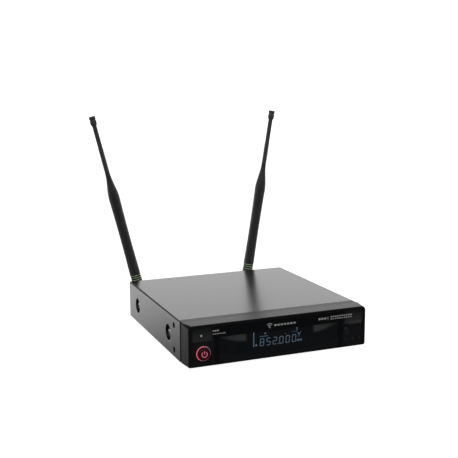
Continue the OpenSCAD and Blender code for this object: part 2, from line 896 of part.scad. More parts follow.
module output_jack()
  color("#1a1a1a")
  difference() {
    union() {
      cyl_y(jack_x, socket_z, rear_in - 30, rear_out + 6, jack_bush_r);
      box(jack_x - jack_body_w / 2, jack_x + jack_body_w / 2, rear_in - 32, rear_in - 0.5,
          main_top, socket_z + jack_body_w / 2);
    }
    cyl_y(jack_x, socket_z, rear_in - 28, rear_out + 7, jack_d / 2);
  }

module output_jack_nut()
  color(bright_steel)
  difference() {
    translate([jack_x, rear_out + 2.5, socket_z])
      rotate([90, 0, 0])
        cylinder(h = 2.5, r = 8, $fn = 6);
    cyl_y(jack_x, socket_z, rear_out - eps, rear_out + 3, jack_bush_r + screw_fit);
  }

module dc_inlet()
  color("#1a1a1a") {
    difference() {
      union() {
        box(dc_x - 4.5, dc_x + 4.5, rear_in - 13.5, rear_in - 0.1, main_top, dc_z + 5.5);
        cyl_y(dc_x, dc_z, rear_in - 0.2, rear_out, dc_collar_r);
      }
      cyl_y(dc_x, dc_z, rear_out - 9.5, rear_out + eps, dc_hole_r);
    }
    cyl_y(dc_x, dc_z, rear_out - 9.5, rear_out - 0.5, 1.05);
  }

module level_pot()
  color("#8d9094")
  difference() {
    union() {
      box(level_x - 8.5, level_x + 8.5, rear_in - 10, rear_in - 0.1, main_top, socket_z + 8.5);
      cyl_y(level_x, socket_z, rear_in - 0.2, rear_out + 5, pot_bush_r);
    }
    cyl_y(level_x, socket_z, rear_in - 8, rear_out + 6, shaft_r + running_gap);
  }

knob_y0 = rear_out + 5.5;
knob_y1 = rear_out + 17;

module level_shaft()
  color(bright_steel)
  cyl_y(level_x, socket_z, rear_in - 7, knob_y1 - 2, shaft_r);

module level_knob()
  color(black_plastic)
  difference() {
    translate([level_x, knob_y1, socket_z])
      rotate([90, 0, 0])
        cylinder(h = knob_y1 - knob_y0, r1 = 6.2, r2 = 7);
    cyl_y(level_x, socket_z, knob_y0 - eps, knob_y1 - 2, shaft_r);
    for (i = [0 : 17])
      rotate_about(level_x, socket_z, i * 20)
        cyl_y(level_x, socket_z + 7.4, knob_y0 + 2, knob_y1 + eps, 0.9);
    box(level_x - 0.5, level_x + 0.5, knob_y1 - 0.5, knob_y1 + eps,
        socket_z + 1.5, socket_z + 7);
  }

// Turns its children about a line along Y through x, z
module rotate_about(x, z, angle)
  translate([x, 0, z])
  rotate([0, angle, 0])
  translate([-x, 0, -z])
  children();

// ---- antennas ----

// Places children, drawn with the elbow pin at the origin and the whip along +Z
module at_elbow(x, lean)
  translate([x, pin_y, socket_z])
  rotate([0, lean, 0])
  children();

module cheek_outline(r)
  union() {
    circle(r);
    translate([-(pin_y - coupling_end - 6), -r])
      square([pin_y - coupling_end - 6, 2 * r]);
  }

module elbow()
  color(black_plastic)
  union() {
    cyl_y(0, 0, barrel_end + 0.4 - pin_y, coupling_end + 0.5 - pin_y, spigot_r);
    cyl_y(0, 0, barrel_end + 0.4 - pin_y, lip_end - 0.3 - pin_y, spigot_r + 0.4);
    cyl_y(0, 0, coupling_end + 0.4 - pin_y, -elbow_r, elbow_r);
    both_sides()
      difference() {
        intersection() {
          translate([cheek_in, 0, 0])
            rotate([90, 0, 90])
              linear_extrude(cheek_out - cheek_in)
                cheek_outline(elbow_r);
          cyl_y(0, 0, -20, 20, elbow_r + 1);
        }
        cyl_x(0, 0, 0, 10, pin_r);
      }
  }

module hinge_pin()
  color(bright_steel)
  cyl_x(0, 0, -cheek_out, cheek_out, pin_r);

// Radius of the sleeve at s along the antenna: waisted, with a smooth shoulder to the mast
function sleeve_r(s) =
  s < shoulder_s
    ? waist_d / 2 + (sleeve_d - waist_d) / 2
      * pow((2 * s - band_top - shoulder_s) / (shoulder_s - band_top), 2)
    : mast_d / 2 + (sleeve_d - mast_d) / 2
      * (0.5 + 0.5 * cos(180 * (s - shoulder_s) / (taper_s - shoulder_s)));

waist_steps = 12;
taper_steps = 12;

function sleeve_points() = [
  for (i = [0 : waist_steps])
    let (s = band_top + (shoulder_s - band_top) * i / waist_steps)
      [sleeve_r(s), s],
  for (i = [1 : taper_steps])
    let (s = shoulder_s + (taper_s - shoulder_s) * i / taper_steps)
      [sleeve_r(s), s]
];

module sleeve()
  color(black_plastic)
  difference() {
    union() {
      translate([-tongue_half, 0, 0])
        rotate([90, 0, 90])
          linear_extrude(2 * tongue_half)
            union() {
              circle(tongue_r);
              translate([-tongue_r, 0])
                square([2 * tongue_r, collar_s + 0.5]);
            }
      cyl_z(0, 0, collar_s, band_s, 7);
      cyl_z(0, 0, band_s - 0.1, band_top, band_core_r);
      rotate_extrude()
        polygon(concat([[0, band_top - 0.1], [sleeve_d / 2, band_top - 0.1]],
                       sleeve_points(), [[0, taper_s]]));
    }
    cyl_x(0, 0, -10, 10, pin_r + 0.06);
    cyl_z(0, 0, band_top + 4, taper_s + eps, core_r);
  }

// Coloured band of three rounded beads round the sleeve's foot
module rings()
  color(band_green)
  rotate_extrude()
    difference() {
      union() {
        translate([band_core_r, band_s + band_gap])
          square([ring_r - 1 - band_core_r, band_top - band_s - 0.1 - 2 * band_gap]);
        for (i = [0 : bead_count - 1])
          translate([ring_r - 1.35, band_s + bead_pitch * (i + 0.5) - 0.05])
            circle(1.35, $fn = 32);
      }
      translate([0, band_s])
        square([band_core_r + band_gap, band_top - band_s]);
    }

module mast()
  color(black_plastic)
  union() {
    cyl_z(0, 0, band_top + 4, taper_s, core_r);
    cyl_z(0, 0, taper_s, cap_s, mast_d / 2);
    cyl_z(0, 0, cap_s, cap_s + 7, core_r);
  }

module tip()
  color(black_plastic)
  difference() {
    rotate_extrude()
      polygon([
        [0, cap_s], [mast_d / 2 + 0.1, cap_s], [tip_r - 0.4, cap_s + 1.6], [tip_r, cap_s + 3],
        [tip_r, cap_s + 6.2], [tip_r - 0.5, cap_s + 7.2], [tip_r - 0.5, cap_s + 8],
        [tip_r, cap_s + 8.6], [tip_r, antenna_len - 0.5], [tip_r - 0.5, antenna_len],
        [0, antenna_len]
      ]);
    cyl_z(0, 0, cap_s - eps, cap_s + 7, core_r);
  }

module elbow_left() at_elbow(antenna_left_x, lean_left) elbow();
module hinge_pin_left() at_elbow(antenna_left_x, lean_left) hinge_pin();
module sleeve_left() at_elbow(antenna_left_x, lean_left) sleeve();
module rings_left() at_elbow(antenna_left_x, lean_left) rings();
module mast_left() at_elbow(antenna_left_x, lean_left) mast();
module tip_left() at_elbow(antenna_left_x, lean_left) tip();
module elbow_right() at_elbow(antenna_right_x, lean_right) elbow();
module hinge_pin_right() at_elbow(antenna_right_x, lean_right) hinge_pin();
module sleeve_right() at_elbow(antenna_right_x, lean_right) sleeve();
module rings_right() at_elbow(antenna_right_x, lean_right) rings();
module mast_right() at_elbow(antenna_right_x, lean_right) mast();
module tip_right() at_elbow(antenna_right_x, lean_right) tip();

top_cover();
chassis_base();
rear_panel();
ear_nuts();
feet();
side_screws();
chassis_screws();
front_bezel();
front_panel();
display_lens();
lcd_frame();
lcd_glass();
lcd_backlight();
power_light_ring();
power_button();
power_plunger();
power_switch();
set_button();
set_plunger();
sync_button();
down_button();
up_button();
button_switches();
indicator_led();
front_pcb();
main_pcb();
pcb_standoffs();
pcb_screws();
tuner_shields();
main_ics();
electrolytic_caps();
voltage_regulator();
heatsink();
flat_cable_connectors();
flat_cable();
coax_leads();
antenna_sockets();
antenna_socket_nuts();
antenna_couplings();
xlr_socket();
xlr_pins();
xlr_screws();
output_jack();
output_jack_nut();
dc_inlet();
level_pot();
level_shaft();
level_knob();
elbow_left();
hinge_pin_left();
sleeve_left();
rings_left();
mast_left();
tip_left();
elbow_right();
hinge_pin_right();
sleeve_right();
rings_right();
mast_right();
tip_right();
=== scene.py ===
"""Looks for a half-rack wireless receiver with two folding whip antennas.

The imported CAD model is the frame. Shapes are built in millimetres in the row frame (X right,
Y back, Z up, origin at the centre of the case's underside) and stored in metres.
"""
import json
import math

import bmesh
import bpy
from mathutils import Matrix, Vector
from mathutils.geometry import delaunay_2d_cdt


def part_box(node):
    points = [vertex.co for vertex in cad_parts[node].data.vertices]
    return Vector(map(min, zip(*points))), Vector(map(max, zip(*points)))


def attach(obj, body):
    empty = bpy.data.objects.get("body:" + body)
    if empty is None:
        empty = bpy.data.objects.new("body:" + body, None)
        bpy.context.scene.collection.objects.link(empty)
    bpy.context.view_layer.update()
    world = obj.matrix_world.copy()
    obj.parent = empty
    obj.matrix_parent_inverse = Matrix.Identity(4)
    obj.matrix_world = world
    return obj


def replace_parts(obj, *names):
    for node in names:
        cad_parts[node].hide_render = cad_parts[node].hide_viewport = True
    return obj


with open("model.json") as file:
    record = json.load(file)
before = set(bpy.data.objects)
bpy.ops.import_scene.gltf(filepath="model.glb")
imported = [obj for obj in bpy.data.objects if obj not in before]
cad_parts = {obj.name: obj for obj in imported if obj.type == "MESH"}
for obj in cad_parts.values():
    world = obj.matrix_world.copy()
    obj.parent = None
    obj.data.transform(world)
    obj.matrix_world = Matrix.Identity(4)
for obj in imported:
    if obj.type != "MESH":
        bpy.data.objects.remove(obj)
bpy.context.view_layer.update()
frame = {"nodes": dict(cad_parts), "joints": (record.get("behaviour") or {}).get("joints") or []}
MM = 0.001
SIDES = ("left", "right")
scene = bpy.context.scene


# ---- places read from the frame, in millimetres ----

def node_box(node):
    lo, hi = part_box(node)
    return lo / MM, hi / MM


def centre_of(node):
    """(x, z) of a node's middle."""
    lo, hi = node_box(node)
    middle = (lo + hi) / 2
    return middle.x, middle.z


JOINTS = {joint["name"]: joint for joint in frame["joints"]}


def joint_place(name):
    return Vector(JOINTS[name]["pos_m"]) / MM


COVER_LO, COVER_HI = node_box("top_cover")
BEZEL_LO, BEZEL_HI = node_box("front_bezel")
PANEL_LO, PANEL_HI = node_box("front_panel")
SIDE_SCREWS_LO, SIDE_SCREWS_HI = node_box("side_screws")
HALF_W = COVER_HI.x
CASE_H = COVER_HI.z
SEAM_Y = COVER_LO.y
REAR_Y = COVER_HI.y
RIM_Y = BEZEL_LO.y
PANEL_Y = RIM_Y + 0.4
PANEL_T = 2.4
PANEL_BACK = PANEL_Y + PANEL_T
REAR_OUT = node_box("rear_panel")[1].y
REAR_IN = REAR_OUT - 1.2
FLOOR_Z = node_box("feet")[0].z
SOCKET_Z = centre_of("antenna_sockets")[1]
XLR_X = centre_of("xlr_pins")[0]
JACK_X = centre_of("output_jack")[0]
DC_X, DC_Z = centre_of("dc_inlet")
LEVEL = joint_place("level_turn")
POWER = centre_of("power_button")
SET = centre_of("set_button")
SMALL_BUTTONS = ("sync_button", "down_button", "up_button")
LED = centre_of("indicator_led")
RING_FLANGE = 1.2
RING_R = (node_box("power_light_ring")[1].x - node_box("power_light_ring")[0].x) / 2 - RING_FLANGE
CAP_R = 6.75
SET_R = 3.2
SET_DISH_R = 5.4
SMALL_R = 2.1
LED_R = 1.2


# ---- mesh helpers ----

def configured(thing, **settings):
    """thing with its properties set."""
    for name, value in settings.items():
        setattr(thing, name, value)
    return thing


def mesh_object(name, bm):
    mesh = bpy.data.meshes.new(name)
    bm.to_mesh(mesh)
    bm.free()
    obj = bpy.data.objects.new(name, mesh)
    scene.collection.objects.link(obj)
    return obj


def finish_piece(name, bm, slot, material, body="receiver", bevel=0.0, sharp=32, solid=0.0):
    """Scales a shape to metres, gives it smooth faces with crisp edges and hangs it on its body."""
    obj = mesh_object(name, bm)
    mesh = obj.data
    mesh.transform(Matrix.Scale(MM, 4))
    mesh.polygons.foreach_set("use_smooth", [True] * len(mesh.polygons))
    mesh.set_sharp_from_angle(angle=math.radians(sharp))
    mesh.materials.append(material)
    if solid:
        configured(obj.modifiers.new("wall", "SOLIDIFY"), thickness=solid * MM, offset=-1,
                   use_even_offset=True)
    if bevel:
        configured(obj.modifiers.new("edges", "BEVEL"), width=bevel * MM, segments=3,
                   limit_method="ANGLE", angle_limit=math.radians(sharp), harden_normals=True)
    obj.modifiers.new("normals", "WEIGHTED_NORMAL").keep_sharp = True
    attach(obj, body)
    return obj


def stand_in(name, bm, node, material, body="receiver", **finish):
    """A finished piece in the place of a CAD node."""
    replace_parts(finish_piece(name, bm, node, material, body, **finish), node)


def weld(bm):
    bmesh.ops.remove_doubles(bm, verts=bm.verts, dist=1e-4)
    bmesh.ops.recalc_face_normals(bm, faces=bm.faces)
    return bm


def joined(*parts):
    """One bmesh holding all the given ones, which are freed."""
    result = bmesh.new()
    for part in parts:
        mesh = bpy.data.meshes.new("part")
        part.to_mesh(mesh)
        part.free()
        result.from_mesh(mesh)
        bpy.data.meshes.remove(mesh)
    return result


def moved(bm, matrix):
    bmesh.ops.transform(bm, matrix=matrix, verts=bm.verts)
    return bm


def evaluated(obj):
    """bmesh of an object as its modifiers or its curve settings leave it."""
    bpy.context.view_layer.update()
    mesh = bpy.data.meshes.new_from_object(obj.evaluated_get(bpy.context.evaluated_depsgraph_get()))
    bm = bmesh.new()
    bm.from_mesh(mesh)
    bpy.data.meshes.remove(mesh)
    return bm


def loft(loops, ring=False, capped=False):
    """Quads between loops of equally many points; ring joins the last loop to the first."""
    bm = bmesh.new()
    rows = [[bm.verts.new(p) for p in loop] for loop in loops]
    pairs = list(zip(rows, rows[1:]))
    if ring:
        pairs.append((rows[-1], rows[0]))
    for a, b in pairs:
        for i in range(len(a)):
            j = (i + 1) % len(a)
            bm.faces.new((a[i], a[j], b[j], b[i]))
    if capped:
        bm.faces.new(rows[0])
        bm.faces.new(rows[-1])
    return weld(bm)


def softened(points, radius, steps=4):
    """Rounds the inner corners of an open outline."""
    result = [Vector(points[0])]
    for before, corner, after in zip(points, points[1:], points[2:]):
        before, corner, after = Vector(before), Vector(corner), Vector(after)
        reach = min(radius, (before - corner).length * 0.45, (after - corner).length * 0.45)
        start = corner + (before - corner).normalized() * reach
        end = corner + (after - corner).normalized() * reach
        for i in range(steps + 1):
            t = i / steps
            result.append(start * (1 - t) ** 2 + corner * 2 * t * (1 - t) + end * t ** 2)
    result.append(Vector(points[-1]))
    return result


def arc(degrees, radius, x=0.0, z=0.0, height=None):
    """Points at the given angles of a circle, or of an ellipse where a height is given."""
    height = radius if height is None else height
    return [(x + radius * math.cos(math.radians(a)), z + height * math.sin(math.radians(a)))
            for a in degrees]


def pointing(origin, direction):
    """Matrix that puts local Z along direction, from origin."""
    turn = Vector(direction).to_track_quat("Z", "Y").to_matrix().to_4x4()
    return Matrix.Translation(Vector(origin)) @ turn


def along_y(x, z, y=0):
    """Matrix whose local Z is the row's Y axis through x, z, with its zero at y."""
    return pointing((x, y, z), (0, 1, 0))


ACROSS = pointing((0, 0, 0), (1, 0, 0))


def lathe(profile, place=None, segments=64, shape=None, ring=False):
    """Turns (radius, height) points about local Z. shape may change a radius by its angle."""
    loops = []
    for radius, height in profile:
        loop = []
        for i in range(segments):
            angle = 2 * math.pi * i / segments
            r = shape(angle, radius, height) if shape else radius
            loop.append(Vector((r * math.cos(angle), r * math.sin(angle), height)))
        loops.append(loop)
    bm = loft(loops, ring=ring)
    return moved(bm, place) if place else bm


def turned(points, soft, place=None, segments=64):
    """Turned body with the corners of its outline rounded."""
    return lathe(softened(points, soft), place, segments)


def disc_points(x, z, radius, count=48):
    return arc([360 * i / count for i in range(count)], radius, x, z)


def rect_points(x0, x1, z0, z1, top, low, steps=8):
    """Rectangle with round corners, anticlockwise from the lower right."""
    corners = [(x1 - low, z0 + low, low, -90), (x1 - top, z1 - top, top, 0),
               (x0 + top, z1 - top, top, 90), (x0 + low, z0 + low, low, 180)]
    points = []
    for cx, cz, radius, start in corners:
        points += arc([start + 90 * i / steps for i in range(steps + 1)], radius, cx, cz)
    return points


def bar(x0, x1, z0, z1):
    return [(x0, z0), (x1, z0), (x1, z1), (x0, z1)]


def plate(loops, y0, y1, edge=0.2):
    """Plate in X and Z from y0 to y1 with rounded edges. The loops after the first are holes."""
    curve = configured(bpy.data.curves.new("plate", "CURVE"), dimensions="2D", fill_mode="BOTH",
                       extrude=(y1 - y0) / 2 - edge, bevel_depth=edge, bevel_resolution=2,
                       offset=-edge)
    for number, loop in enumerate(loops):
        points = loop if number == 0 else list(reversed(loop))
        spline = curve.splines.new("POLY")
        spline.points.add(len(points) - 1)
        for point, (x, z) in zip(spline.points, points):
            point.co = (x, z, 0, 1)
        spline.use_cyclic_u = True
    holder = bpy.data.objects.new("plate", curve)
    scene.collection.objects.link(holder)
    bm = evaluated(holder)
    bpy.data.objects.remove(holder)
    bpy.data.curves.remove(curve)
    upright = Matrix(((1, 0, 0, 0), (0, 0, -1, (y0 + y1) / 2), (0, 1, 0, 0), (0, 0, 0, 1)))
    return weld(moved(bm, upright))


def prism(points, y0, y1):
    """Flat-sided block with an outline in X and Z."""
    return loft([[Vector((x, y, z)) for x, z in points] for y in (y0, y1)], capped=True)


def slab(points, x0, x1):
    """Flat-sided block with an outline in Y and Z."""
    return loft([[Vector((x, y, z)) for y, z in points] for x in (x0, x1)], capped=True)


def block(lo, hi, radius=0.0):
    bm = bmesh.new()
    bmesh.ops.create_cube(bm, size=1)
    lo, hi = Vector(lo), Vector(hi)
    moved(bm, Matrix.Translation((lo + hi) / 2) @ Matrix.Diagonal((*(hi - lo), 1)))
    if radius:
        bmesh.ops.bevel(bm, geom=bm.edges[:], offset=radius, segments=3, affect="EDGES",
                        profile=0.5)
    return bm


def carved(bm, cutter):
    """bm with the shape of cutter cut out of it."""
    target = mesh_object("target", bm)
    tool = mesh_object("tool", cutter)
    configured(target.modifiers.new("cut", "BOOLEAN"), operation="DIFFERENCE", solver="EXACT",
               object=tool)
    result = evaluated(target)
    for obj in (target, tool):
        bpy.data.meshes.remove(obj.data)
    return result


# ---- materials ----

SPECULAR = "Specular IOR Level"


def connect(tree, value, socket):
    """Links an output to a socket, or sets a plain value on it."""
    if isinstance(value, bpy.types.NodeSocket):
        tree.links.new(value, socket)
    else:
        socket.default_value = value


def add_node(tree, kind, inputs, output=0, **settings):
    """Output of a new node. inputs are pairs of a socket's name and its value or source."""
    made = configured(tree.nodes.new("ShaderNode" + kind), **settings)
    for name, value in inputs:
        connect(tree, value, made.inputs[name])
    return made.outputs[output]


def calc(operation, *values):
    tree = next(value.id_data for value in values if isinstance(value, bpy.types.NodeSocket))
    return add_node(tree, "Math", enumerate(values), operation=operation)


def times(first, second):
    return calc("MULTIPLY", first, second)


def less(first, second):
    return calc("SUBTRACT", first, second)


def map_range(value, start, end, low, high, curve="LINEAR"):
    inputs = [("Value", value), ("From Min", start), ("From Max", end), ("To Min", low),
              ("To Max", high)]
    return add_node(value.id_data, "MapRange", inputs, "Result", interpolation_type=curve)


def mapped(value, low, high, start=0.3, end=0.7):
    return map_range(value, start, end, low, high)


def ramp(value, start, end, low=0.0, high=1.0):
    """Smooth step from low at start to high at end."""
    return map_range(value, start, end, low, high, "SMOOTHSTEP")


def ramp_mm(value, start, end, low=0.0, high=1.0):
    return ramp(value, start * MM, end * MM, low, high)


def blended(factor, first, second):
    inputs = [("Factor", factor)]
    for name, value in (("A", first), ("B", second)):
        inputs.append((name, value if isinstance(value, bpy.types.NodeSocket) else (*value, 1)))
    return add_node(factor.id_data, "Mix", inputs, "Result", data_type="RGBA")


def noise(tree, scale, detail=2.0, stretch=(1, 1, 1)):
    """Noise on the row's own coordinates. scale is in features per metre."""
    place = add_node(tree, "TexCoord", (), "Object")
    spot = add_node(tree, "Mapping", [("Vector", place), ("Scale", stretch)])
    inputs = [("Vector", spot), ("Scale", scale), ("Detail", detail)]
    return add_node(tree, "TexNoise", inputs, "Fac")


def place_axes(tree, output="Object"):
    """X, Y and Z of a point, in metres in the row frame."""
    axes = tree.nodes.new("ShaderNodeSeparateXYZ")
    tree.links.new(add_node(tree, "TexCoord", (), output), axes.inputs["Vector"])
    return axes.outputs["X"], axes.outputs["Y"], axes.outputs["Z"]


def dimmed(color, factor):
    return tuple(c * factor for c in color)


class Look:
    """A material with its node tree and its shader."""

    def __init__(self, name, color, roughness, specular=0.5, metallic=0.0):
        self.material = bpy.data.materials.new(name)
        self.material.use_nodes = True
        self.tree = self.material.node_tree
        self.shader = self.tree.nodes["Principled BSDF"]
        for socket, value in (("Base Color", (*color, 1)), ("Roughness", roughness),
                              (SPECULAR, specular), ("Metallic", metallic)):
            self.feed(socket, value)

    def feed(self, socket, value):
        connect(self.tree, value, self.shader.inputs[socket])

    def colour_cloud(self, first, second, scale, detail=3.0, stretch=(1, 1, 1)):
        cloud = mapped(noise(self.tree, scale, detail, stretch), 0, 1)
        self.feed("Base Color", blended(cloud, first, second))

    def roughen(self, low, high, scale, detail=3.0, stretch=(1, 1, 1)):
        self.feed("Roughness", mapped(noise(self.tree, scale, detail, stretch), low, high))

    def bump(self, height, depth_mm, strength=1.0):
        inputs = [("Distance", depth_mm * MM), ("Strength", strength), ("Height", height)]
        self.feed("Normal", add_node(self.tree, "Bump", inputs))


def paint():
    """Satin black powder coat with a fine orange peel."""
    look = Look("black_powder_coat", (0.02, 0.02, 0.02), 0.24, 0.6)
    look.colour_cloud((0.017, 0.017, 0.018), (0.022, 0.022, 0.023), 900)
    look.roughen(0.22, 0.26, 700)
    look.bump(noise(look.tree, 1700, 3), 0.012, 0.35)
    return look.material


def moulded_look(name, color, low, high, grain=1400, depth=0.01, specular=0.5):
    """Satin moulded plastic with a fine spark-eroded grain."""
    look = Look(name, color, (low + high) / 2, specular)
    look.colour_cloud(dimmed(color, 0.85), dimmed(color, 1.2), grain * 0.5)
    look.roughen(low, high, grain * 0.4)
    look.bump(noise(look.tree, grain, 4), depth, 0.6)
    return look


def moulded(*settings, **more):
    return moulded_look(*settings, **more).material


def whip_plastic_painted_sheen(name, color, edge=(0.2, 0.2, 0.205)):
    """Moulded plastic with a painted sheen: its colour turns pale, towards edge, where the surface turns
    away, standing in for the backdrop's reflection along its sides.
    """
    look = moulded_look(name, color, 0.42, 0.52, 1100, 0.015)
    base = look.shader.inputs["Base Color"].links[0].from_socket
    # painted sheen: the base colour is blended towards edge where the surface turns away
    painted_sheen_factor = add_node(look.tree, "LayerWeight", (), "Facing")
    look.feed("Base Color", blended(painted_sheen_factor, base, edge))
    return look.material


# tones of the front panel: a black strip across the top and greyer below it; painted reflections in
# greyer upper ends and a lighter strip in the right end, and painted shade in a black upright beside each
# end of the window
PANEL_STRIP_Z = 30
PANEL_END_X = 76.5
PANEL_END_Z = 26.4
UPRIGHT_X = 71.2


def gloss():
    """Black gloss panel with painted reflections in two greyer upper ends and a lighter strip at the right
    end, painted shade in a black upright beside each end of the window, and faint wipe marks.
    """
    look = Look("gloss_panel_painted_light", (0.006, 0.006, 0.007), 0.12, 0.2)
    across, _, up = place_axes(look.tree)
    side = calc("ABSOLUTE", across)
    low = ramp_mm(up, PANEL_STRIP_Z, PANEL_STRIP_Z - 3)
    # painted shade: a black upright beside each end of the window, kept out of the greyer lower tone
    outside = calc("MAXIMUM", ramp_mm(side, PANEL_END_X - 1, PANEL_END_X),
                   ramp_mm(side, UPRIGHT_X, UPRIGHT_X - 1))
    base = blended(times(low, outside), (0.006, 0.0065, 0.0075), (0.0125, 0.013, 0.0148))
    # painted reflection: the upper ends greyer, fading upwards
    end = times(ramp_mm(side, PANEL_END_X, PANEL_END_X + 4),
                ramp_mm(up, PANEL_END_Z, PANEL_END_Z + 1))
    end = times(end, ramp_mm(up, 41, 31, 0.3, 1))
    with_painted_reflection_ends = blended(end, base, (0.034, 0.0365, 0.034))
    # painted reflection: a lighter strip at the foot of the right end
    strip = times(ramp_mm(across, PANEL_END_X + 1, PANEL_END_X + 14),
                  ramp_mm(up, PANEL_END_Z + 4, PANEL_END_Z + 2))
    strip = times(strip, ramp_mm(up, PANEL_END_Z - 1, PANEL_END_Z))
    look.feed("Base Color", blended(strip, with_painted_reflection_ends, (0.057, 0.0585, 0.061)))
    look.roughen(0.08, 0.2, 25, 4, (1, 1, 3))
    look.bump(noise(look.tree, 300, 2), 0.002, 0.3)
    return look.material


# painted reflections: grey crescents under the window's upper edge, from beside the display out to the
# corners
CRESCENT_X = 38.5
CRESCENT_Z = 20.5
CRESCENT_RISE = 0.0075


def smoked():
    """Smoked acrylic with a painted reflection: two grey crescents beside the display."""
    look = Look("smoked_acrylic_painted_reflection", (0.008, 0.010, 0.012), 0.06, 0.2)
    look.feed("Alpha", 0.6)
    across, _, up = place_axes(look.tree)
    # painted reflection: grey crescents under the upper edge, fading towards the corners
    beyond = less(calc("ABSOLUTE", across), CRESCENT_X * MM)
    lift = times(times(beyond, beyond), CRESCENT_RISE / MM)
    above = less(less(up, lift), CRESCENT_Z * MM)
    painted_reflection_crescent = times(ramp_mm(beyond, 0, 3), ramp_mm(above, 0, 3))
    painted_reflection_crescent = times(painted_reflection_crescent, ramp_mm(beyond, 32, 8, 0.45, 1))
    haze = mapped(noise(look.tree, 40), 0, 1)
    base = blended(haze, (0.012, 0.015, 0.017), (0.016, 0.019, 0.021))
    look.feed("Base Color", blended(painted_reflection_crescent, base, (0.085, 0.09, 0.087)))
    look.roughen(0.05, 0.1, 40, 4, (1, 1, 4))
    look.material.surface_render_method = "BLENDED"
    return look.material


def glow(name, color, strength, base=(0.1, 0.1, 0.1), variation=0.3, scale=300):
    """Plastic lit from behind, with the light a little uneven."""
    look = Look(name, base, 0.4)
    cloud = mapped(noise(look.tree, scale, 2), 0, 1)
    look.feed("Emission Color", blended(cloud, dimmed(color, 1 - variation), color))
    look.feed("Emission Strength", strength)
    look.colour_cloud(base, dimmed(base, 1.3), scale)
    return look.material


def ring_glow():
    """Frosted light ring, red where its lamp is, on the upper left, and pale where it is not."""
    look = Look("ring_glow", (0.5, 0.4, 0.43), 0.45)
    look.colour_cloud((0.42, 0.32, 0.36), (0.6, 0.48, 0.52), 300)
    across, _, up = place_axes(look.tree)
    left = less(POWER[0] * MM, across)
    high = less(up, POWER[1] * MM)
    towards = calc("MULTIPLY_ADD", high, 0.4, times(left, 0.9))
    lit = ramp_mm(towards, -RING_R * 0.3, RING_R * 0.9)
    look.feed("Emission Color", blended(lit, (0.04, 0.002, 0.008), (0.58, 0.03, 0.07)))
    look.feed("Emission Strength", 1.0)
    return look.material


def lit_cap():
    """Black cap with a little of its sign's red light in the plastic."""
    look = moulded_look("power_cap_plastic", (0.006, 0.005, 0.0055), 0.28, 0.38, specular=0.3)
    across, _, up = place_axes(look.tree)
    parts = [calc("POWER", calc("ABSOLUTE", less(value, middle * MM)), 2.0)
             for value, middle in ((across, POWER[0]), (up, POWER[1]))]
    haze = ramp_mm(calc("SQRT", calc("ADD", *parts)), CAP_R + 0.5, 2.5)
    look.feed("Emission Color", blended(haze, (0.004, 0, 0.0004), (0.035, 0.0006, 0.003)))
    look.feed("Emission Strength", 1.0)
    return look.material


def metal(name, color, low, high, scale=250, stretch=(1, 1, 1)):
    """Plated or machined metal with fine handling marks."""
    look = Look(name, color, (low + high) / 2, metallic=1.0)
    look.colour_cloud(dimmed(color, 0.88), color, scale, 3, stretch)
    look.roughen(low, high, scale * 1.5, 3, stretch)
    look.bump(noise(look.tree, scale * 4, 3, stretch), 0.003, 0.5)
    return look.material


def board():
    """Green solder mask over a pattern of copper tracks."""
    look = Look("solder_mask", (0.01, 0.09, 0.03), 0.3)
    place = add_node(look.tree, "TexCoord", (), "Object")
    cells = add_node(look.tree, "TexVoronoi", [("Scale", 260), ("Vector", place)], "Distance",
                     distance="MANHATTAN")
    tracks = mapped(cells, 0, 1, 0.42, 0.5)
    look.feed("Base Color", blended(tracks, (0.008, 0.07, 0.025), (0.02, 0.13, 0.045)))
    look.bump(tracks, 0.03, 0.5)
    return look.material


PAINT = paint()
BEZEL_PLASTIC = moulded("bezel_plastic", (0.0095, 0.0098, 0.0102), 0.3, 0.38, specular=0.12)
# front panel with painted reflections and painted shade
GLOSS_PAINTED_LIGHT = gloss()
# smoked window with a painted reflection in two crescents
LENS_PAINTED_REFLECTION = smoked()
BUTTON_PLASTIC = moulded("button_plastic", (0.018, 0.018, 0.02), 0.28, 0.38, specular=0.3)
# whip and mast plastics carry a painted sheen along their edges
WHIP_PLASTIC_PAINTED_SHEEN = whip_plastic_painted_sheen("whip_plastic_painted_sheen", (0.023, 0.023, 0.024))
MAST_PLASTIC_PAINTED_SHEEN = whip_plastic_painted_sheen("mast_plastic_painted_sheen", (0.05, 0.05, 0.051))
SOCKET_PLASTIC = moulded("socket_plastic", (0.014, 0.014, 0.014), 0.4, 0.55)
RUBBER = moulded("foot_rubber", (0.012, 0.012, 0.012), 0.7, 0.9, 700, 0.03)
BAND_PLASTIC = moulded("green_band", (0.008, 0.022, 0.008), 0.38, 0.5)
# painted highlight: pale green for the lines on the crests of the band's beads
RIB_PAINTED_HIGHLIGHT = moulded("light_green_ribs", (0.55, 0.68, 0.42), 0.35, 0.45)
MASK_BLACK = moulded("mask_black", (0.002, 0.0025, 0.003), 0.5, 0.6)
PALE_PLASTIC = moulded("pale_plastic", (0.5, 0.46, 0.38), 0.4, 0.55)
DARK_PLASTIC = moulded("dark_plastic", (0.02, 0.02, 0.021), 0.35, 0.5)
CABLE_GREY = moulded("ribbon_grey", (0.3, 0.31, 0.33), 0.4, 0.55)
COAX_BROWN = moulded("coax_jacket", (0.05, 0.025, 0.015), 0.35, 0.45)
CAP_SLEEVE = moulded("capacitor_sleeve", (0.01, 0.02, 0.09), 0.25, 0.35)
INK = moulded("pale_ink", (0.42, 0.43, 0.42), 0.5, 0.6)
FAINT_INK = moulded("faint_ink", (0.4, 0.4, 0.4), 0.5, 0.6)
ZINC = metal("bright_zinc", (0.72, 0.72, 0.70), 0.22, 0.38)
DARK_ZINC = metal("dark_zinc", (0.42, 0.42, 0.41), 0.2, 0.34)
BLACK_STEEL = metal("black_steel", (0.012, 0.012, 0.012), 0.35, 0.5)
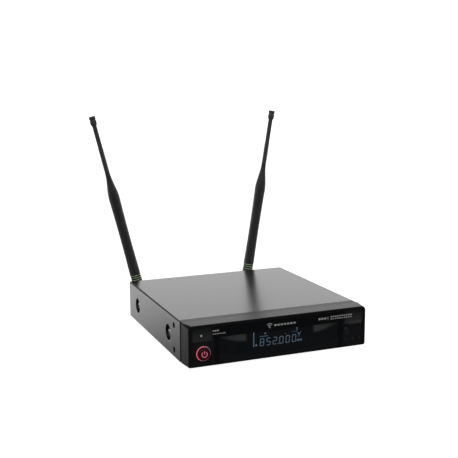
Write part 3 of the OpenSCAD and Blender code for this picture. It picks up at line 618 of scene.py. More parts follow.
NICKEL = metal("nickel", (0.62, 0.60, 0.56), 0.16, 0.3)
BLACK_NICKEL = metal("black_nickel", (0.05, 0.05, 0.052), 0.28, 0.4)
SILVER = metal("silver_contact", (0.8, 0.78, 0.74), 0.2, 0.3)
BRASS = metal("brass", (0.72, 0.52, 0.22), 0.25, 0.4)
TINPLATE = metal("tinplate", (0.6, 0.6, 0.6), 0.3, 0.45, 120)
ANODISED = metal("anodised", (0.25, 0.25, 0.26), 0.4, 0.55, 200, (1, 1, 0.1))
BOARD = board()
RING_GLOW = ring_glow()
CAP_PLASTIC = lit_cap()
SYMBOL_GLOW = glow("symbol_glow", (1.0, 0.22, 0.32), 0.5, (0.25, 0.16, 0.18), 0.3)
SEGMENT_GLOW = glow("segment_glow", (0.5, 0.72, 1.0), 0.9, (0.05, 0.06, 0.08), 0.2, 200)
BACKLIGHT_GLOW = glow("backlight_glow", (0.4, 0.6, 1.0), 0.02, (0.3, 0.35, 0.45), 0.2)
LAMP = glow("indicator_glow", (1.0, 1.0, 0.98), 0.1, (0.22, 0.22, 0.22), 0.1)
LCD_GLASS = moulded("lcd_glass", (0.012, 0.02, 0.034), 0.15, 0.25, 900, 0.001)


# ---- case ----

BEND_R = 2.0
SHEET_T = 1.0
LIP_D = 6.0
RECESS_R = 8.75
RECESS_LIP_R = RECESS_R + 0.9
SCREW_HEAD_H = 2.4
SCREW_HOLE_R = 2.2
M3_R = 1.5
M3_HEAD_H = 1.8
SIDE_HEAD_R = (SIDE_SCREWS_HI.z - SIDE_SCREWS_LO.z) / 2
RECESS_DEPTH = HALF_W - SIDE_SCREWS_HI.x + SCREW_HEAD_H
EAR_CLEARANCE = 0.4
FOOT_R = 7.0


def recess_places():
    """(y, z) of the two recesses of a side, from the screws in them."""
    lo, hi = SIDE_SCREWS_LO, SIDE_SCREWS_HI
    return [(y, (lo.z + hi.z) / 2) for y in (lo.y + SIDE_HEAD_R, hi.y - SIDE_HEAD_R)]


def ear_holes():
    """(y, z, radius) of the rack-ear holes of a side, from the nuts behind them."""
    lo, hi = node_box("ear_nuts")
    nut_r = (hi.y - lo.y) / 2
    return [((lo.y + hi.y) / 2, z, nut_r - 2 + EAR_CLEARANCE) for z in (lo.z + nut_r, hi.z - nut_r)]


def cover_side(side):
    """Outer skin of one side wall with its two stamped recesses and its rack-ear holes."""
    x_wall = side * HALF_W
    top = CASE_H - BEND_R
    recesses = [(y, z, RECESS_LIP_R) for y, z in recess_places()]
    holes = recesses + ear_holes()
    corners = ((SEAM_Y, 0), (REAR_Y, 0), (REAR_Y, top), (SEAM_Y + LIP_D, top), (SEAM_Y, top))
    points, edges = [], []
    for outline in [corners] + [disc_points(*hole) for hole in holes]:
        first, count = len(points), len(outline)
        points += [Vector(p) for p in outline]
        edges += [(first + i, first + (i + 1) % count) for i in range(count)]
    verts, _, faces, _, _, _ = delaunay_2d_cdt(points, edges, [], 1, 1e-5)
    wall = bmesh.new()
    made = [wall.verts.new((x_wall, v.x, v.y)) for v in verts]
    for face in faces:
        middle = sum((verts[i] for i in face), Vector((0, 0))) / len(face)
        if all((middle - Vector((y, z))).length > radius * 0.995 for y, z, radius in holes):
            wall.faces.new([made[i] for i in face])
    # stamped cups: a soft lip, a wall, and a floor with the screw hole
    cup = softened([(RECESS_LIP_R, 0), (RECESS_R, 0.1), (RECESS_R - 0.1, RECESS_DEPTH),
                    (SCREW_HOLE_R, RECESS_DEPTH)], 0.8, 5)
    cups = [loft([[Vector((x_wall - side * depth, *at)) for at in disc_points(y, z, radius)]
                  for radius, depth in cup]) for y, z, _ in recesses]
    return joined(wall, *cups)


def cover_top():
    """Outer skin of the top with its two long bends, cut back in front for the bezel's lip."""
    lip_y = SEAM_Y + LIP_D
    angles = [90 * i / 8 for i in range(9)]
    left, right = [[(side * x, z) for x, z in arc(angles, BEND_R, HALF_W - BEND_R, CASE_H - BEND_R)]
                   for side in (-1, 1)]
    strips = [(a, b, y0, y1) for bend in (left, right) for a, b in zip(bend, bend[1:])
              for y0, y1 in ((SEAM_Y, lip_y), (lip_y, REAR_Y))]
    strips.append((left[-1], right[-1], lip_y, REAR_Y))
    bm = bmesh.new()
    for (xa, za), (xb, zb), y0, y1 in strips:
        corners = ((xa, y0, za), (xa, y1, za), (xb, y1, zb), (xb, y0, zb))
        bm.faces.new([bm.verts.new(p) for p in corners])
    return bm


def build_cover():
    skin = weld(joined(cover_side(-1), cover_side(1), cover_top()))
    top = max(skin.faces, key=lambda f: f.calc_area())
    if top.normal.z < 0:
        bmesh.ops.reverse_faces(skin, faces=skin.faces)
    stand_in("cover_shell", skin, "top_cover", PAINT, bevel=0.12, solid=SHEET_T)


def build_rear_panel():
    lo, hi = node_box("rear_panel")
    holes = [(joint_place(f"antenna_swivel_{side}").x, SOCKET_Z, 6.0) for side in SIDES]
    holes += [(XLR_X, SOCKET_Z, 11.7), (JACK_X, SOCKET_Z, 5.8), (DC_X, DC_Z, 4.0),
              (LEVEL.x, SOCKET_Z, 3.7)]
    outline = rect_points(lo.x, hi.x, lo.z, hi.z, 1.0, 0.3)
    sheet = plate([outline] + [disc_points(*hole) for hole in holes], REAR_IN, REAR_OUT, 0.15)
    foot_x = HALF_W - 10
    foot = block((-foot_x, REAR_IN - 12, lo.z), (foot_x, REAR_IN + 0.1, lo.z + 1.2), 0.2)
    stand_in("rear_plate", joined(sheet, foot), "rear_panel", PAINT)


def build_feet():
    lo, hi = node_box("feet")
    outline = [(0, lo.z + 0.5), (FOOT_R - 3, lo.z + 0.5), (FOOT_R - 2.6, lo.z),
               (FOOT_R - 0.6, lo.z), (FOOT_R, hi.z), (0, hi.z)]
    feet = [turned(outline, 0.6, Matrix.Translation((x, y, 0)), 48)
            for x in (lo.x + FOOT_R, hi.x - FOOT_R) for y in (lo.y + FOOT_R, hi.y - FOOT_R)]
    stand_in("rubber_feet", joined(*feet), "feet", RUBBER)


def screw(head_r, head_h, shank_r, length, place):
    """Pan-head screw along place's Z with a cross recess, its seat at zero."""
    head = softened([(shank_r, 0), (head_r, 0), (head_r, head_h * 0.45),
                     (head_r * 0.78, head_h * 0.9), (0, head_h)], head_h * 0.35, 5)
    body = lathe([(0, -length), (shank_r, -length)] + head, None, 40)
    reach, width = head_r * 0.62, head_r * 0.17
    for turn in (0, 90):
        fin = block((-reach, -width, head_h * 0.35), (reach, width, head_h * 1.5))
        body = carved(body, moved(fin, Matrix.Rotation(math.radians(turn), 4, "Z")))
    return moved(body, place)


def build_side_screws():
    tilt = Matrix.Rotation(math.radians(20), 4, "Z")
    screws = []
    for side in (-1, 1):
        for y, z in recess_places():
            seat = pointing((side * (HALF_W - RECESS_DEPTH), y, z), (side, 0, 0))
            screws.append(screw(SIDE_HEAD_R, SCREW_HEAD_H, 2.0, 8, seat @ tilt))
    stand_in("cover_screws", joined(*screws), "side_screws", DARK_ZINC, bevel=0.08)


def build_under_screws():
    """Screws seen from outside, under the rear edge, with the hidden ones of the bezel."""
    screws = [screw(2.8, M3_HEAD_H, M3_R, 5, pointing((x, REAR_IN - 6, 0), (0, 0, -1)))
              for x in (-75, 0, 75)]
    screws += [screw(2.5, M3_HEAD_H, M3_R, 8, along_y(x, z, SEAM_Y + 1.2))
               for x in (-62, 62) for z in (5, 39)]
    stand_in("panel_screws", joined(*screws), "chassis_screws", ZINC, bevel=0.05)


# ---- bezel and front panel ----

BEZEL_TAPER = 1.2
CORNER_R = 5.0
FRONT_ROUND = 0.7
GROOVE_W = 3.2
GROOVE_D = 1.4
BEZEL_WALL = 2.2
OPENING_R = 2.9
WINDOW_HALF = 71.0
WINDOW_TOP = 29.6
WINDOW_LOW = 4.2
WINDOW_CORNER = 12.5
WINDOW_SAG = WINDOW_CORNER - WINDOW_LOW
WINDOW_R = (WINDOW_HALF ** 2 + WINDOW_SAG ** 2) / (2 * WINDOW_SAG)


def bezel_loop(y, half, z0, z1, top, low):
    return [Vector((x, y, z)) for x, z in rect_points(-half, half, z0, z1, top, low, 10)]


def build_bezel():
    front_half = HALF_W - BEZEL_TAPER
    top = BEZEL_HI.z
    groove_y = SEAM_Y - GROOVE_W
    loops = [
        bezel_loop(SEAM_Y, HALF_W - GROOVE_D, 0.6, CASE_H, 0.6, 0.6),
        bezel_loop(groove_y, HALF_W - GROOVE_D, 0.6, CASE_H, 0.6, 0.6),
        bezel_loop(groove_y - 0.02, HALF_W - 0.25, 0.25, CASE_H, 0.5, 0.5),
        bezel_loop(groove_y - 0.3, HALF_W, 0, CASE_H, 0.6, 0.6),
        bezel_loop(RIM_Y + FRONT_ROUND, front_half, 0, top, CORNER_R, 2),
    ]
    for i in range(1, 7):
        a = math.radians(90 * i / 6)
        inset = FRONT_ROUND * (1 - math.cos(a))
        loops.append(bezel_loop(RIM_Y + FRONT_ROUND * (1 - math.sin(a)), front_half - inset,
                                inset, top - inset, CORNER_R - inset, 2 - inset))
    half = (PANEL_HI.x - PANEL_LO.x) / 2 + 0.1
    low, high = PANEL_LO.z - 0.1, PANEL_HI.z + 0.1
    for y, gap in ((RIM_Y, 0.35), (RIM_Y + 0.1, 0.1), (RIM_Y + 0.35, 0), (PANEL_BACK, 0)):
        loops.append(bezel_loop(y, half + gap, low - gap, high + gap, OPENING_R, OPENING_R))
    inside = front_half - BEZEL_WALL
    for y in (PANEL_BACK, PANEL_BACK + 2):
        loops.append(bezel_loop(y, half - 0.7, low + 1.2, high - 1.2, 2, 2))
    for y in (PANEL_BACK + 2, SEAM_Y):
        loops.append(bezel_loop(y, inside, BEZEL_WALL, CASE_H - BEZEL_WALL, 1, 1))
    lip_half = HALF_W - BEND_R - 0.2
    lip = block((-lip_half, SEAM_Y, CASE_H - SHEET_T), (lip_half, SEAM_Y + LIP_D - 0.1, CASE_H))
    shell = joined(loft(loops, ring=True), lip)
    stand_in("bezel_shell", shell, "front_bezel", BEZEL_PLASTIC, sharp=38)


def window_points(inset):
    """Window outline: straight top and sides over a bowed lower edge, drawn smaller by inset."""
    half = WINDOW_HALF - inset
    top = WINDOW_TOP - inset
    radius = WINDOW_R - inset
    centre = WINDOW_LOW + WINDOW_R
    limit = math.asin(half / radius)
    count = 48
    points = [(radius * math.sin(a), centre - radius * math.cos(a))
              for a in (limit * (2 * i / count - 1) for i in range(count + 1))]
    return points + [(half, top), (-half, top)]


def build_front_panel():
    outline = rect_points(PANEL_LO.x, PANEL_HI.x, PANEL_LO.z, PANEL_HI.z, 2.8, 2.8)
    holes = [window_points(0), disc_points(*POWER, RING_R + 0.1, 96),
             disc_points(*SET, SET_DISH_R, 72), disc_points(*LED, LED_R + 0.1, 32)]
    holes += [disc_points(*centre_of(name), SMALL_R + 0.08, 40) for name in SMALL_BUTTONS]
    sheet = plate([outline] + holes, PANEL_Y, PANEL_BACK, 0.14)
    dish = [(SET_DISH_R + 0.25, 0.3), (SET_DISH_R - 0.1, 0.15), (SET_R + 0.35, 1.2),
            (SET_R + 0.08, 1.3), (SET_R + 0.08, PANEL_T)]
    trim = [(RING_R - 0.45, 0.4), (RING_R - 0.45, -0.45), (RING_R - 0.2, -0.6),
            (RING_R + 0.95, -0.55), (RING_R + 1.15, -0.3), (RING_R + 1.15, 0.1)]
    parts = [sheet, turned(dish, 0.25, along_y(*SET, PANEL_Y), 72),
             turned(trim, 0.2, along_y(*POWER, PANEL_Y), 96)]
    stand_in("front_plate", joined(*parts), "front_panel", GLOSS_PAINTED_LIGHT)


def build_window():
    front = node_box("display_lens")[0].y
    lens = plate([window_points(0.15)], front, PANEL_BACK - 0.6, 0.15)
    stand_in("display_window", lens, "display_lens", LENS_PAINTED_REFLECTION)
    lo, hi = node_box("lcd_glass")
    hole = rect_points(lo.x + 1.5, hi.x - 1.5, lo.z + 1.5, WINDOW_TOP - 0.6, 0.8, 0.8)
    mask = plate([window_points(-0.9), hole], PANEL_BACK - 0.1, PANEL_BACK + 0.5, 0.05)
    finish_piece("window_mask", mask, "display_lens", MASK_BLACK)


# ---- display and printed marks ----

DIGIT_W = 5.0
DIGIT_H = 8.5
DIGIT_PITCH = 7.62
DIGIT_X = -22.9
DIGIT_Z = 12.5
STROKE = 0.8
SLANT = 0.06
SEGMENTS = {"8": "abcdefg", "5": "acdfg", "2": "abdeg", "0": "abcdef"}
SIGN_X, SIGN_Z = -13, 33.6


def stroke(x0, z0, x1, z1, width=STROKE):
    """Outline of a bar with pointed ends, as on a liquid crystal display."""
    start, end = Vector((x0, z0)), Vector((x1, z1))
    along = (end - start).normalized()
    across = Vector((-along.y, along.x)) * width / 2
    tip = along * width / 2
    return [start, start + tip - across, end - tip - across, end, end - tip + across,
            start + tip + across]


def digit(character, x, z):
    margin = 0.45
    left, right, low, mid, top = margin, DIGIT_W - margin, margin, DIGIT_H / 2, DIGIT_H - margin
    bars = {
        "a": (left, top, right, top), "b": (right, mid, right, top), "c": (right, low, right, mid),
        "d": (left, low, right, low), "e": (left, low, left, mid), "f": (left, mid, left, top),
        "g": (left, mid, right, mid),
    }
    return [[(x + p.x + SLANT * p.y, z + p.y) for p in stroke(*bars[name])]
            for name in SEGMENTS[character]]


def bar_row(count, start, pitch, width, z0, z1):
    """Equal bars side by side."""
    return [bar(start + i * pitch, start + i * pitch + width, z0, z1) for i in range(count)]


def flat_marks(name, outlines, y0, y1, slot, material, body="receiver"):
    """One piece of thin marks between two planes."""
    finish_piece(name, joined(*[prism(points, y0, y1) for points in outlines]), slot, material, body)


def build_display():
    """Seven-segment digits and small symbols on the front of the display glass."""
    outlines = []
    for i, character in enumerate("852000"):
        outlines += digit(character, DIGIT_X + i * DIGIT_PITCH, DIGIT_Z)
    outlines += [bar(*sides) for sides in (
        (-1.9, -0.9, 12.6, 13.6), (-30.4, -29.2, 12.6, 28.4), (-22.8, -13.4, 22.9, 23.6),
        (21.0, 21.8, 25.6, 28.4), (20.4, 22.4, 27.7, 28.4), (20.4, 22.4, 25.6, 26.1))]
    outlines += [disc_points(-26.9, 14.2, 1.2, 16), disc_points(-16.4, 26.2, 1.0, 16),
                 disc_points(7.8, 23.0, 0.5, 12)]
    outlines += bar_row(3, 15.4, 2.4, 1.5, 23.9, 24.4)
    # reception symbol: a mast with two arms
    outlines += [[tuple(p) for p in stroke(*ends, 0.7)] for ends in
                 ((24, 17.6, 24, 21.2), (24, 20.6, 22.2, 23.0), (24, 20.6, 26.4, 23.4))]
    # unit mark: short bars
    outlines += bar_row(4, 21.2, 1.75, 1.1, 12.9, 15.2)
    glass_y = node_box("lcd_glass")[0].y
    flat_marks("display_segments", outlines, glass_y - 0.12, glass_y - 0.02, "lcd_glass",
               SEGMENT_GLOW)


def build_marks():
    """Plain printed marks on the front panel, with no words."""
    y0, y1 = PANEL_Y - 0.05, PANEL_Y + 0.02
    pale = [bar(x, x + width, 36.2, 37.8) for x, width in ((-77.7, 1.6), (-75.6, 1.9), (-73.2, 2.3))]
    pale += bar_row(7, -77.7, 2.1, 1.5, 33.1, 34.2)
    # generic reception sign: a dot with two waves, then a row of plain dashes
    pale.append(disc_points(SIGN_X, SIGN_Z, 1.0, 24))
    for radius in (2.5, 4.4):
        pale.append(arc(range(40, 141, 10), radius, SIGN_X, SIGN_Z)
                    + arc(range(140, 39, -10), radius - 0.9, SIGN_X, SIGN_Z))
    pale += bar_row(7, -7.6, 3.8, 2.7, 34.2, 36.2)
    pale += bar_row(3, 45.6, 3.5, 2.6, 34.5, 36.7) + [bar(57.0, 57.8, 33.4, 37.6)]
    flat_marks("printed_marks", pale, y0, y1, "front_panel", INK)
    faint = bar_row(10, 60.6, 2.75, 2.2, 36.1, 37.4) + bar_row(10, 60.6, 2.75, 1.9, 33.6, 34.9)
    flat_marks("printed_small_marks", faint, y0, y1, "front_panel", FAINT_INK)


# ---- buttons ----

def build_power_button():
    lo, hi = node_box("power_light_ring")
    front = lo.y
    rim_r = RING_R - 0.6
    flange_r = RING_R + RING_FLANGE
    ring = [(CAP_R + 0.1, hi.y), (CAP_R + 0.1, front + 0.9), (CAP_R + 0.6, front + 0.05),
            (rim_r - 0.25, front), (rim_r, front + 0.4), (rim_r, PANEL_Y + 0.5),
            (RING_R, PANEL_Y + 0.5), (RING_R, hi.y - 1), (flange_r, hi.y - 1), (flange_r, hi.y)]
    stand_in("power_ring", turned(ring, 0.3, along_y(*POWER), 96), "power_light_ring", RING_GLOW)
    lo, hi = node_box("power_button")
    cap = [(0, lo.y + 0.35), (CAP_R - 2.4, lo.y + 0.2), (CAP_R - 1.6, lo.y),
           (CAP_R - 0.35, lo.y + 0.6), (CAP_R, lo.y + 1.7), (CAP_R, front + 1.6), (4, front + 1.6),
           (4, hi.y - 0.9), (8, hi.y - 0.9), (8, hi.y), (0, hi.y)]
    stand_in("power_cap", turned(cap, 0.4, along_y(*POWER), 96), "power_button", CAP_PLASTIC,
             "power_button")
    build_power_symbol(lo.y + 0.36)


def build_power_symbol(face_y):
    """Lit sign on the power cap: a broken ring with an upright bar in its gap."""
    x, z = POWER
    radius, width = 3.3, 0.7
    ring = arc(range(130, 411, 10), radius, x, z) + arc(range(410, 129, -10), radius - width, x, z)
    upright = bar(x - width / 2, x + width / 2, z + 0.2, z + 4.2)
    flat_marks("power_symbol", (ring, upright), face_y - 0.14, face_y + 0.1, "power_button",
               SYMBOL_GLOW, "power_button")


def build_small_buttons():
    lo, hi = node_box("set_button")
    flange_r, plunger_r = 4.4, 1.7
    profile = [(0, lo.y), (SET_R * 0.6, lo.y + 0.2), (SET_R - 0.1, lo.y + 0.75),
               (SET_R, lo.y + 1.2), (SET_R, hi.y - 0.8), (flange_r, hi.y - 0.8),
               (flange_r, hi.y), (0, hi.y)]
    stand_in("set_cap", turned(profile, 0.5, along_y(*SET)), "set_button", BUTTON_PLASTIC,
             "set_button")
    for name in SMALL_BUTTONS:
        lo, hi = node_box(name)
        profile = [(0, lo.y + 0.12), (SMALL_R - 0.7, lo.y), (SMALL_R - 0.15, lo.y + 0.1),
                   (SMALL_R, lo.y + 0.5), (SMALL_R, lo.y + 5.4), (plunger_r, lo.y + 5.4),
                   (plunger_r, hi.y), (0, hi.y)]
        cap = turned(profile, 0.3, along_y(*centre_of(name)), 48)
        stand_in(name.replace("button", "cap"), cap, name, BUTTON_PLASTIC, name)


def build_indicator():
    lo, hi = node_box("indicator_led")
    flange_r = 1.6
    profile = arc(range(-90, 1, 15), LED_R, 0, lo.y + LED_R)
    profile += [(LED_R, hi.y - 3.5), (flange_r, hi.y - 3.5), (flange_r, hi.y), (0, hi.y)]
    stand_in("indicator_lamp", lathe(profile, along_y(*LED), 32), "indicator_led", LAMP)


# ---- rear sockets ----

def build_antenna_mounts():
    """Nickel sockets on the panel and the knurled rings of the whips locked on them."""
    sockets, rings = [], []
    lo, hi = node_box("antenna_sockets")
    ring_lo, ring_hi = node_box("antenna_couplings")
    y0, y1 = ring_lo.y, ring_hi.y
    flange_r, body_r, thread_r, contact_r = 7.6, 5.9, 4.8, 2.4
    grip_r, tail_r, bore_r, neck_r = 7.2, 6.4, 5.0, 4.58

    def knurl(angle, radius, height):
        on_grip = y0 + 1.5 < height < y0 + 7.5 and radius > 6.8
        return radius - (0.28 if on_grip and math.cos(angle * 30) < -0.1 else 0)

    for side in SIDES:
        place = along_y(joint_place(f"antenna_swivel_{side}").x, SOCKET_Z)
        socket = [(0, lo.y), (2.2, lo.y), (2.2, REAR_OUT - 10), (body_r, REAR_OUT - 10),
                  (body_r, REAR_OUT), (flange_r, REAR_OUT), (flange_r, REAR_OUT + 1.6),
                  (thread_r, REAR_OUT + 1.6), (thread_r, hi.y), (contact_r, hi.y),
                  (contact_r, hi.y - 8), (0, hi.y - 8)]
        sockets.append(turned(socket, 0.3, place, 48))
        steps = (0.5, 1.5, 1.55, 7.45, 7.5, 8.6)
        ring = [(6.8, y0), (grip_r, y0 + 0.4)] + [(grip_r, y0 + step) for step in steps]
        ring += [(6.5, y0 + 9.2), (tail_r, y0 + 9.4), (tail_r, y1 - 0.4), (6.0, y1), (neck_r, y1),
                 (neck_r, hi.y + 1.8), (bore_r, hi.y + 1.6), (bore_r, y0)]
        rings.append(lathe(ring, place, 120, knurl, ring=True))
    stand_in("antenna_jacks", joined(*sockets), "antenna_sockets", NICKEL)
    stand_in("coupling_rings", joined(*rings), "antenna_couplings", NICKEL, sharp=25)


def build_xlr():
    """Black shell with three silver pins, a key at the bottom and a latch slot at the top."""
    x, z = XLR_X, SOCKET_Z
    lo, hi = node_box("xlr_socket")
    face, floor = hi.y, hi.y - 15.5
    cavity_r, shell_r, pin_circle_r, pin_r = 9.6, 11.5, 6.35, 1.2
    screw_places = [(x + side * 9.5, z - side * 12) for side in (-1, 1)]
    outline = rect_points(x - 13, x + 13, z - 15.5, z + 15.5, 2.5, 2.5)
    holes = [disc_points(x, z, 10.6, 72)] + [disc_points(*at, 1.6, 32) for at in screw_places]
    flange = plate([outline] + holes, REAR_OUT, face, 0.35)
    tube = [(0, floor), (cavity_r, floor), (cavity_r, face - 0.4), (cavity_r + 0.4, face),
            (10.5, face), (10.8, face - 0.5), (shell_r, REAR_OUT - 0.2), (shell_r, lo.y), (0, lo.y)]
    barrel = turned(tube, 0.3, along_y(x, z), 72)
    key = block((x - 1.2, floor, z - cavity_r - 0.2), (x + 1.2, face - 2, z - cavity_r + 1.0), 0.3)
    latch = block((x - 2.4, face - 4, z + 10.2), (x + 2.4, face, z + 13.4), 0.5)
    tail = block((x - 10, lo.y, node_box("main_pcb")[1].z), (x + 10, REAR_IN - 2.4, z), 0.4)
    stand_in("balanced_shell", joined(flange, barrel, key, latch, tail), "xlr_socket", BLACK_NICKEL)
    lo, hi = node_box("xlr_pins")
    tip = [(0, lo.y), (pin_r, lo.y), (pin_r, hi.y - 0.8), (0.7, hi.y), (0, hi.y)]
    pins = [turned(tip, 0.6, along_y(*at), 32) for at in arc((30, 150, 270), pin_circle_r, x, z)]
    stand_in("balanced_pins", joined(*pins), "xlr_pins", SILVER)
    screws = [screw(2.7, 1.6, M3_R, 5, along_y(*at, face)) for at in screw_places]
    stand_in("flange_screws", joined(*screws), "xlr_screws", BLACK_NICKEL, bevel=0.05)


def housing(node, front, bore_r, bore_end, x, z, segments):
    """Block in a node's bounds behind the rear panel, with a bore from the panel inwards."""
    lo, hi = node_box(node)
    bore = [(0, bore_end), (bore_r, bore_end), (bore_r, REAR_IN + 2), (0, REAR_IN + 2)]
    return carved(block(lo, (hi.x, front, hi.z), 0.4), lathe(bore, along_y(x, z), segments))


def hex_nut(node, bore, x, z):
    """Nut along Y in a node's bounds, with its corners turned down at both ends."""
    lo, hi = node_box(node)
    half = (hi.z - lo.z) / 2
    corner = half / math.cos(math.pi / 6)

    def hexagon(angle, radius, height):
        if radius < half:
            return radius
        flat = half / math.cos(angle % (math.pi / 3) - math.pi / 6)
        depth = min(height - lo.y, hi.y - height)
        return min(flat, corner * 0.93 + depth * 1.6)

    steps = (lo.y, lo.y + 0.2, lo.y + 0.45, hi.y - 0.45, hi.y - 0.2, hi.y)
    outline = [(bore, hi.y), (bore, lo.y)] + [(corner, y) for y in steps]
    return lathe(outline, along_y(x, z), 72, hexagon, ring=True)


def build_jack():
    front = node_box("output_jack")[1].y
    bore_end = REAR_IN - 28
    bore_r, thread_r = 3.2, 5.6
    thread = []
    y = REAR_OUT + 2.6
    while y < front - 0.9:
        thread += [(thread_r, y), (thread_r - 0.25, y + 0.3)]
        y += 0.6
    profile = [(0, bore_end), (bore_r, bore_end), (bore_r, front - 0.3), (bore_r + 0.3, front),
               (thread_r - 0.3, front), (thread_r, front - 0.3)]
    profile += list(reversed(thread)) + [(thread_r, bore_end - 2), (0, bore_end - 2)]
    bushing = lathe(profile, along_y(JACK_X, SOCKET_Z))
    body = housing("output_jack", REAR_IN - 0.5, thread_r - 0.05, bore_end, JACK_X, SOCKET_Z, 48)
    stand_in("jack_body", joined(bushing, body), "output_jack", SOCKET_PLASTIC)
    nut = hex_nut("output_jack_nut", thread_r + 0.05, JACK_X, SOCKET_Z)
    stand_in("jack_nut", nut, "output_jack_nut", NICKEL, sharp=25)


def build_dc_inlet():
    front = node_box("dc_inlet")[1].y
    bore_r, collar_r, pin_r = 2.9, 3.9, 1.05
    collar = [(0, front - 9.5), (bore_r, front - 9.5), (bore_r, front - 0.25),
              (bore_r + 0.25, front), (collar_r - 0.2, front), (collar_r, front - 0.2),
              (collar_r, REAR_IN - 0.2), (collar_r, REAR_IN - 3), (0, REAR_IN - 3)]
    shell = turned(collar, 0.15, along_y(DC_X, DC_Z), 48)
    body = housing("dc_inlet", REAR_IN - 0.1, bore_r + 0.05, front - 9.6, DC_X, DC_Z, 40)
    stand_in("power_inlet", joined(shell, body), "dc_inlet", SOCKET_PLASTIC)
    pin = [(0, front - 9.6), (pin_r, front - 9.6), (pin_r, front - 0.9), (0, front - 0.5)]
    finish_piece("power_inlet_pin", turned(pin, 0.4, along_y(DC_X, DC_Z), 32), "dc_inlet", NICKEL)


def build_knob():
    lo, hi = node_box("level_knob")

    def flutes(angle, radius, height):
        on_side = lo.y + 1.6 < height < hi.y - 0.5 and radius > 5.5
        return radius - (0.38 * max(0.0, math.cos(angle * 18)) if on_side else 0)

    profile = [(2.5, hi.y - 2), (2.5, lo.y), (5.9, lo.y), (6.3, lo.y + 0.35), (6.4, lo.y + 1.5),
               (6.45, lo.y + 1.8), (6.7, lo.y + 5), (6.9, hi.y - 1.2), (6.7, hi.y - 0.45),
               (6.3, hi.y - 0.08), (5.6, hi.y), (4.9, hi.y - 0.15), (4.4, hi.y - 0.3), (0, hi.y - 0.3)]
    grip = lathe(profile, along_y(LEVEL.x, LEVEL.z), 144, flutes)
    stand_in("level_grip", grip, "level_knob", BUTTON_PLASTIC, "level_knob", sharp=40)
    pointer = block((LEVEL.x - 0.4, hi.y - 0.35, LEVEL.z + 1.2),
                    (LEVEL.x + 0.4, hi.y - 0.05, LEVEL.z + 6.1), 0.1)
    finish_piece("level_pointer", pointer, "level_knob", INK, "level_knob")


def build_rear_marks():
    """Dial ticks round the level knob and a plain sign over the inlet and the jack."""
    ticks = []
    for i in range(11):
        a = math.radians(240 - i * 30)
        out = Vector((math.cos(a), math.sin(a)))
        across = Vector((-out.y, out.x)) * 0.2
        near, far = out * 9.0, out * (11.0 if i % 5 == 0 else 10.2)
        ticks.append([(LEVEL.x + p.x, LEVEL.z + p.y) for p in
                      (near - across, far - across, far + across, near + across)])
    for x in (DC_X, JACK_X):
        ticks += [bar(x - 4, x + 4, 33.6, 34.0), bar(x - 0.2, x + 0.2, 32.0, 33.6)]
    flat_marks("rear_marks", ticks, REAR_OUT - 0.02, REAR_OUT + 0.05, "rear_panel", INK)


# ---- antennas ----

WHIP_LEN = 235.0
BAND_LOW, BAND_TOP = 16.8, 25.5
RIDGES = [BAND_LOW + (BAND_TOP - BAND_LOW) / 3 * (i + 0.5) for i in range(3)]
SHOULDER, TAPER_END = WHIP_LEN - 107, WHIP_LEN - 72
CAP_LOW = WHIP_LEN - 12
SLEEVE_R, WAIST_R, MAST_R, TIP_R = 6.95, 6.4, 2.95, 4.1
ELBOW_R = 6.8
CHEEK_IN, CHEEK_OUT = 3.6, 6.6
CHEEK_END = -7.2
PIN_R = 1.5
TONGUE_R, TONGUE_HALF = 6.5, 3.3


def whip_frame(side):
    """Matrix from the whip's own frame, pin at the origin and whip along Z, to the row frame."""
    joint = JOINTS[f"antenna_fold_{side}"]
    across = -Vector(joint["axis"]).normalized()
    back = Vector((0, 1, 0))
    up = across.cross(back)
    turn = Matrix((across, back, up)).transposed().to_4x4()
    return Matrix.Translation(Vector(joint["pos_m"]) / MM) @ turn


def sleeve_radius(s):
    if s < SHOULDER:
        t = (2 * s - BAND_TOP - SHOULDER) / (SHOULDER - BAND_TOP)
        return WAIST_R + (SLEEVE_R - WAIST_R) * t * t
    t = (s - SHOULDER) / (TAPER_END - SHOULDER)
    return MAST_R + (SLEEVE_R - MAST_R) * (0.5 + 0.5 * math.cos(math.pi * t))


def build_elbow(side, at):
    coupling_end = node_box("antenna_couplings")[1].y - joint_place(f"antenna_fold_{side}").y
    spigot_end = coupling_end - 4.0
    neck = [(0, spigot_end), (4.9, spigot_end), (4.9, spigot_end + 0.8), (4.5, spigot_end + 0.8),
            (4.5, coupling_end + 0.4), (6.4, coupling_end + 0.4), (ELBOW_R, coupling_end + 0.9),
            (ELBOW_R, -ELBOW_R), (0, -ELBOW_R)]
    parts = [turned(neck, 0.5, along_y(0, 0))]
    outline = arc(range(-90, 91, 6), ELBOW_R) + [(CHEEK_END, ELBOW_R), (CHEEK_END, -ELBOW_R)]
    for way in (-1, 1):
        cheek = slab(outline, way * CHEEK_IN, way * CHEEK_OUT)
        rim = [e for e in cheek.edges
               if all(abs(abs(v.co.x) - CHEEK_OUT) < 1e-3 for v in e.verts)]
        bmesh.ops.bevel(cheek, geom=rim, offset=0.9, segments=4, affect="EDGES", profile=0.5)
        parts.append(cheek)
    node = f"elbow_{side}"
    stand_in(f"elbow_shell_{side}", moved(joined(*parts), at), node, WHIP_PLASTIC_PAINTED_SHEEN, node)
    end = [(0, CHEEK_OUT + 0.3), (PIN_R + 0.5, CHEEK_OUT + 0.15), (PIN_R + 0.6, CHEEK_OUT),
           (PIN_R, CHEEK_OUT)]
    dome = [(radius, -x) for radius, x in end] + end[::-1]
    stand_in(f"elbow_pin_{side}", turned(dome, 0.15, at @ ACROSS, 32), f"hinge_pin_{side}", NICKEL,
             node)


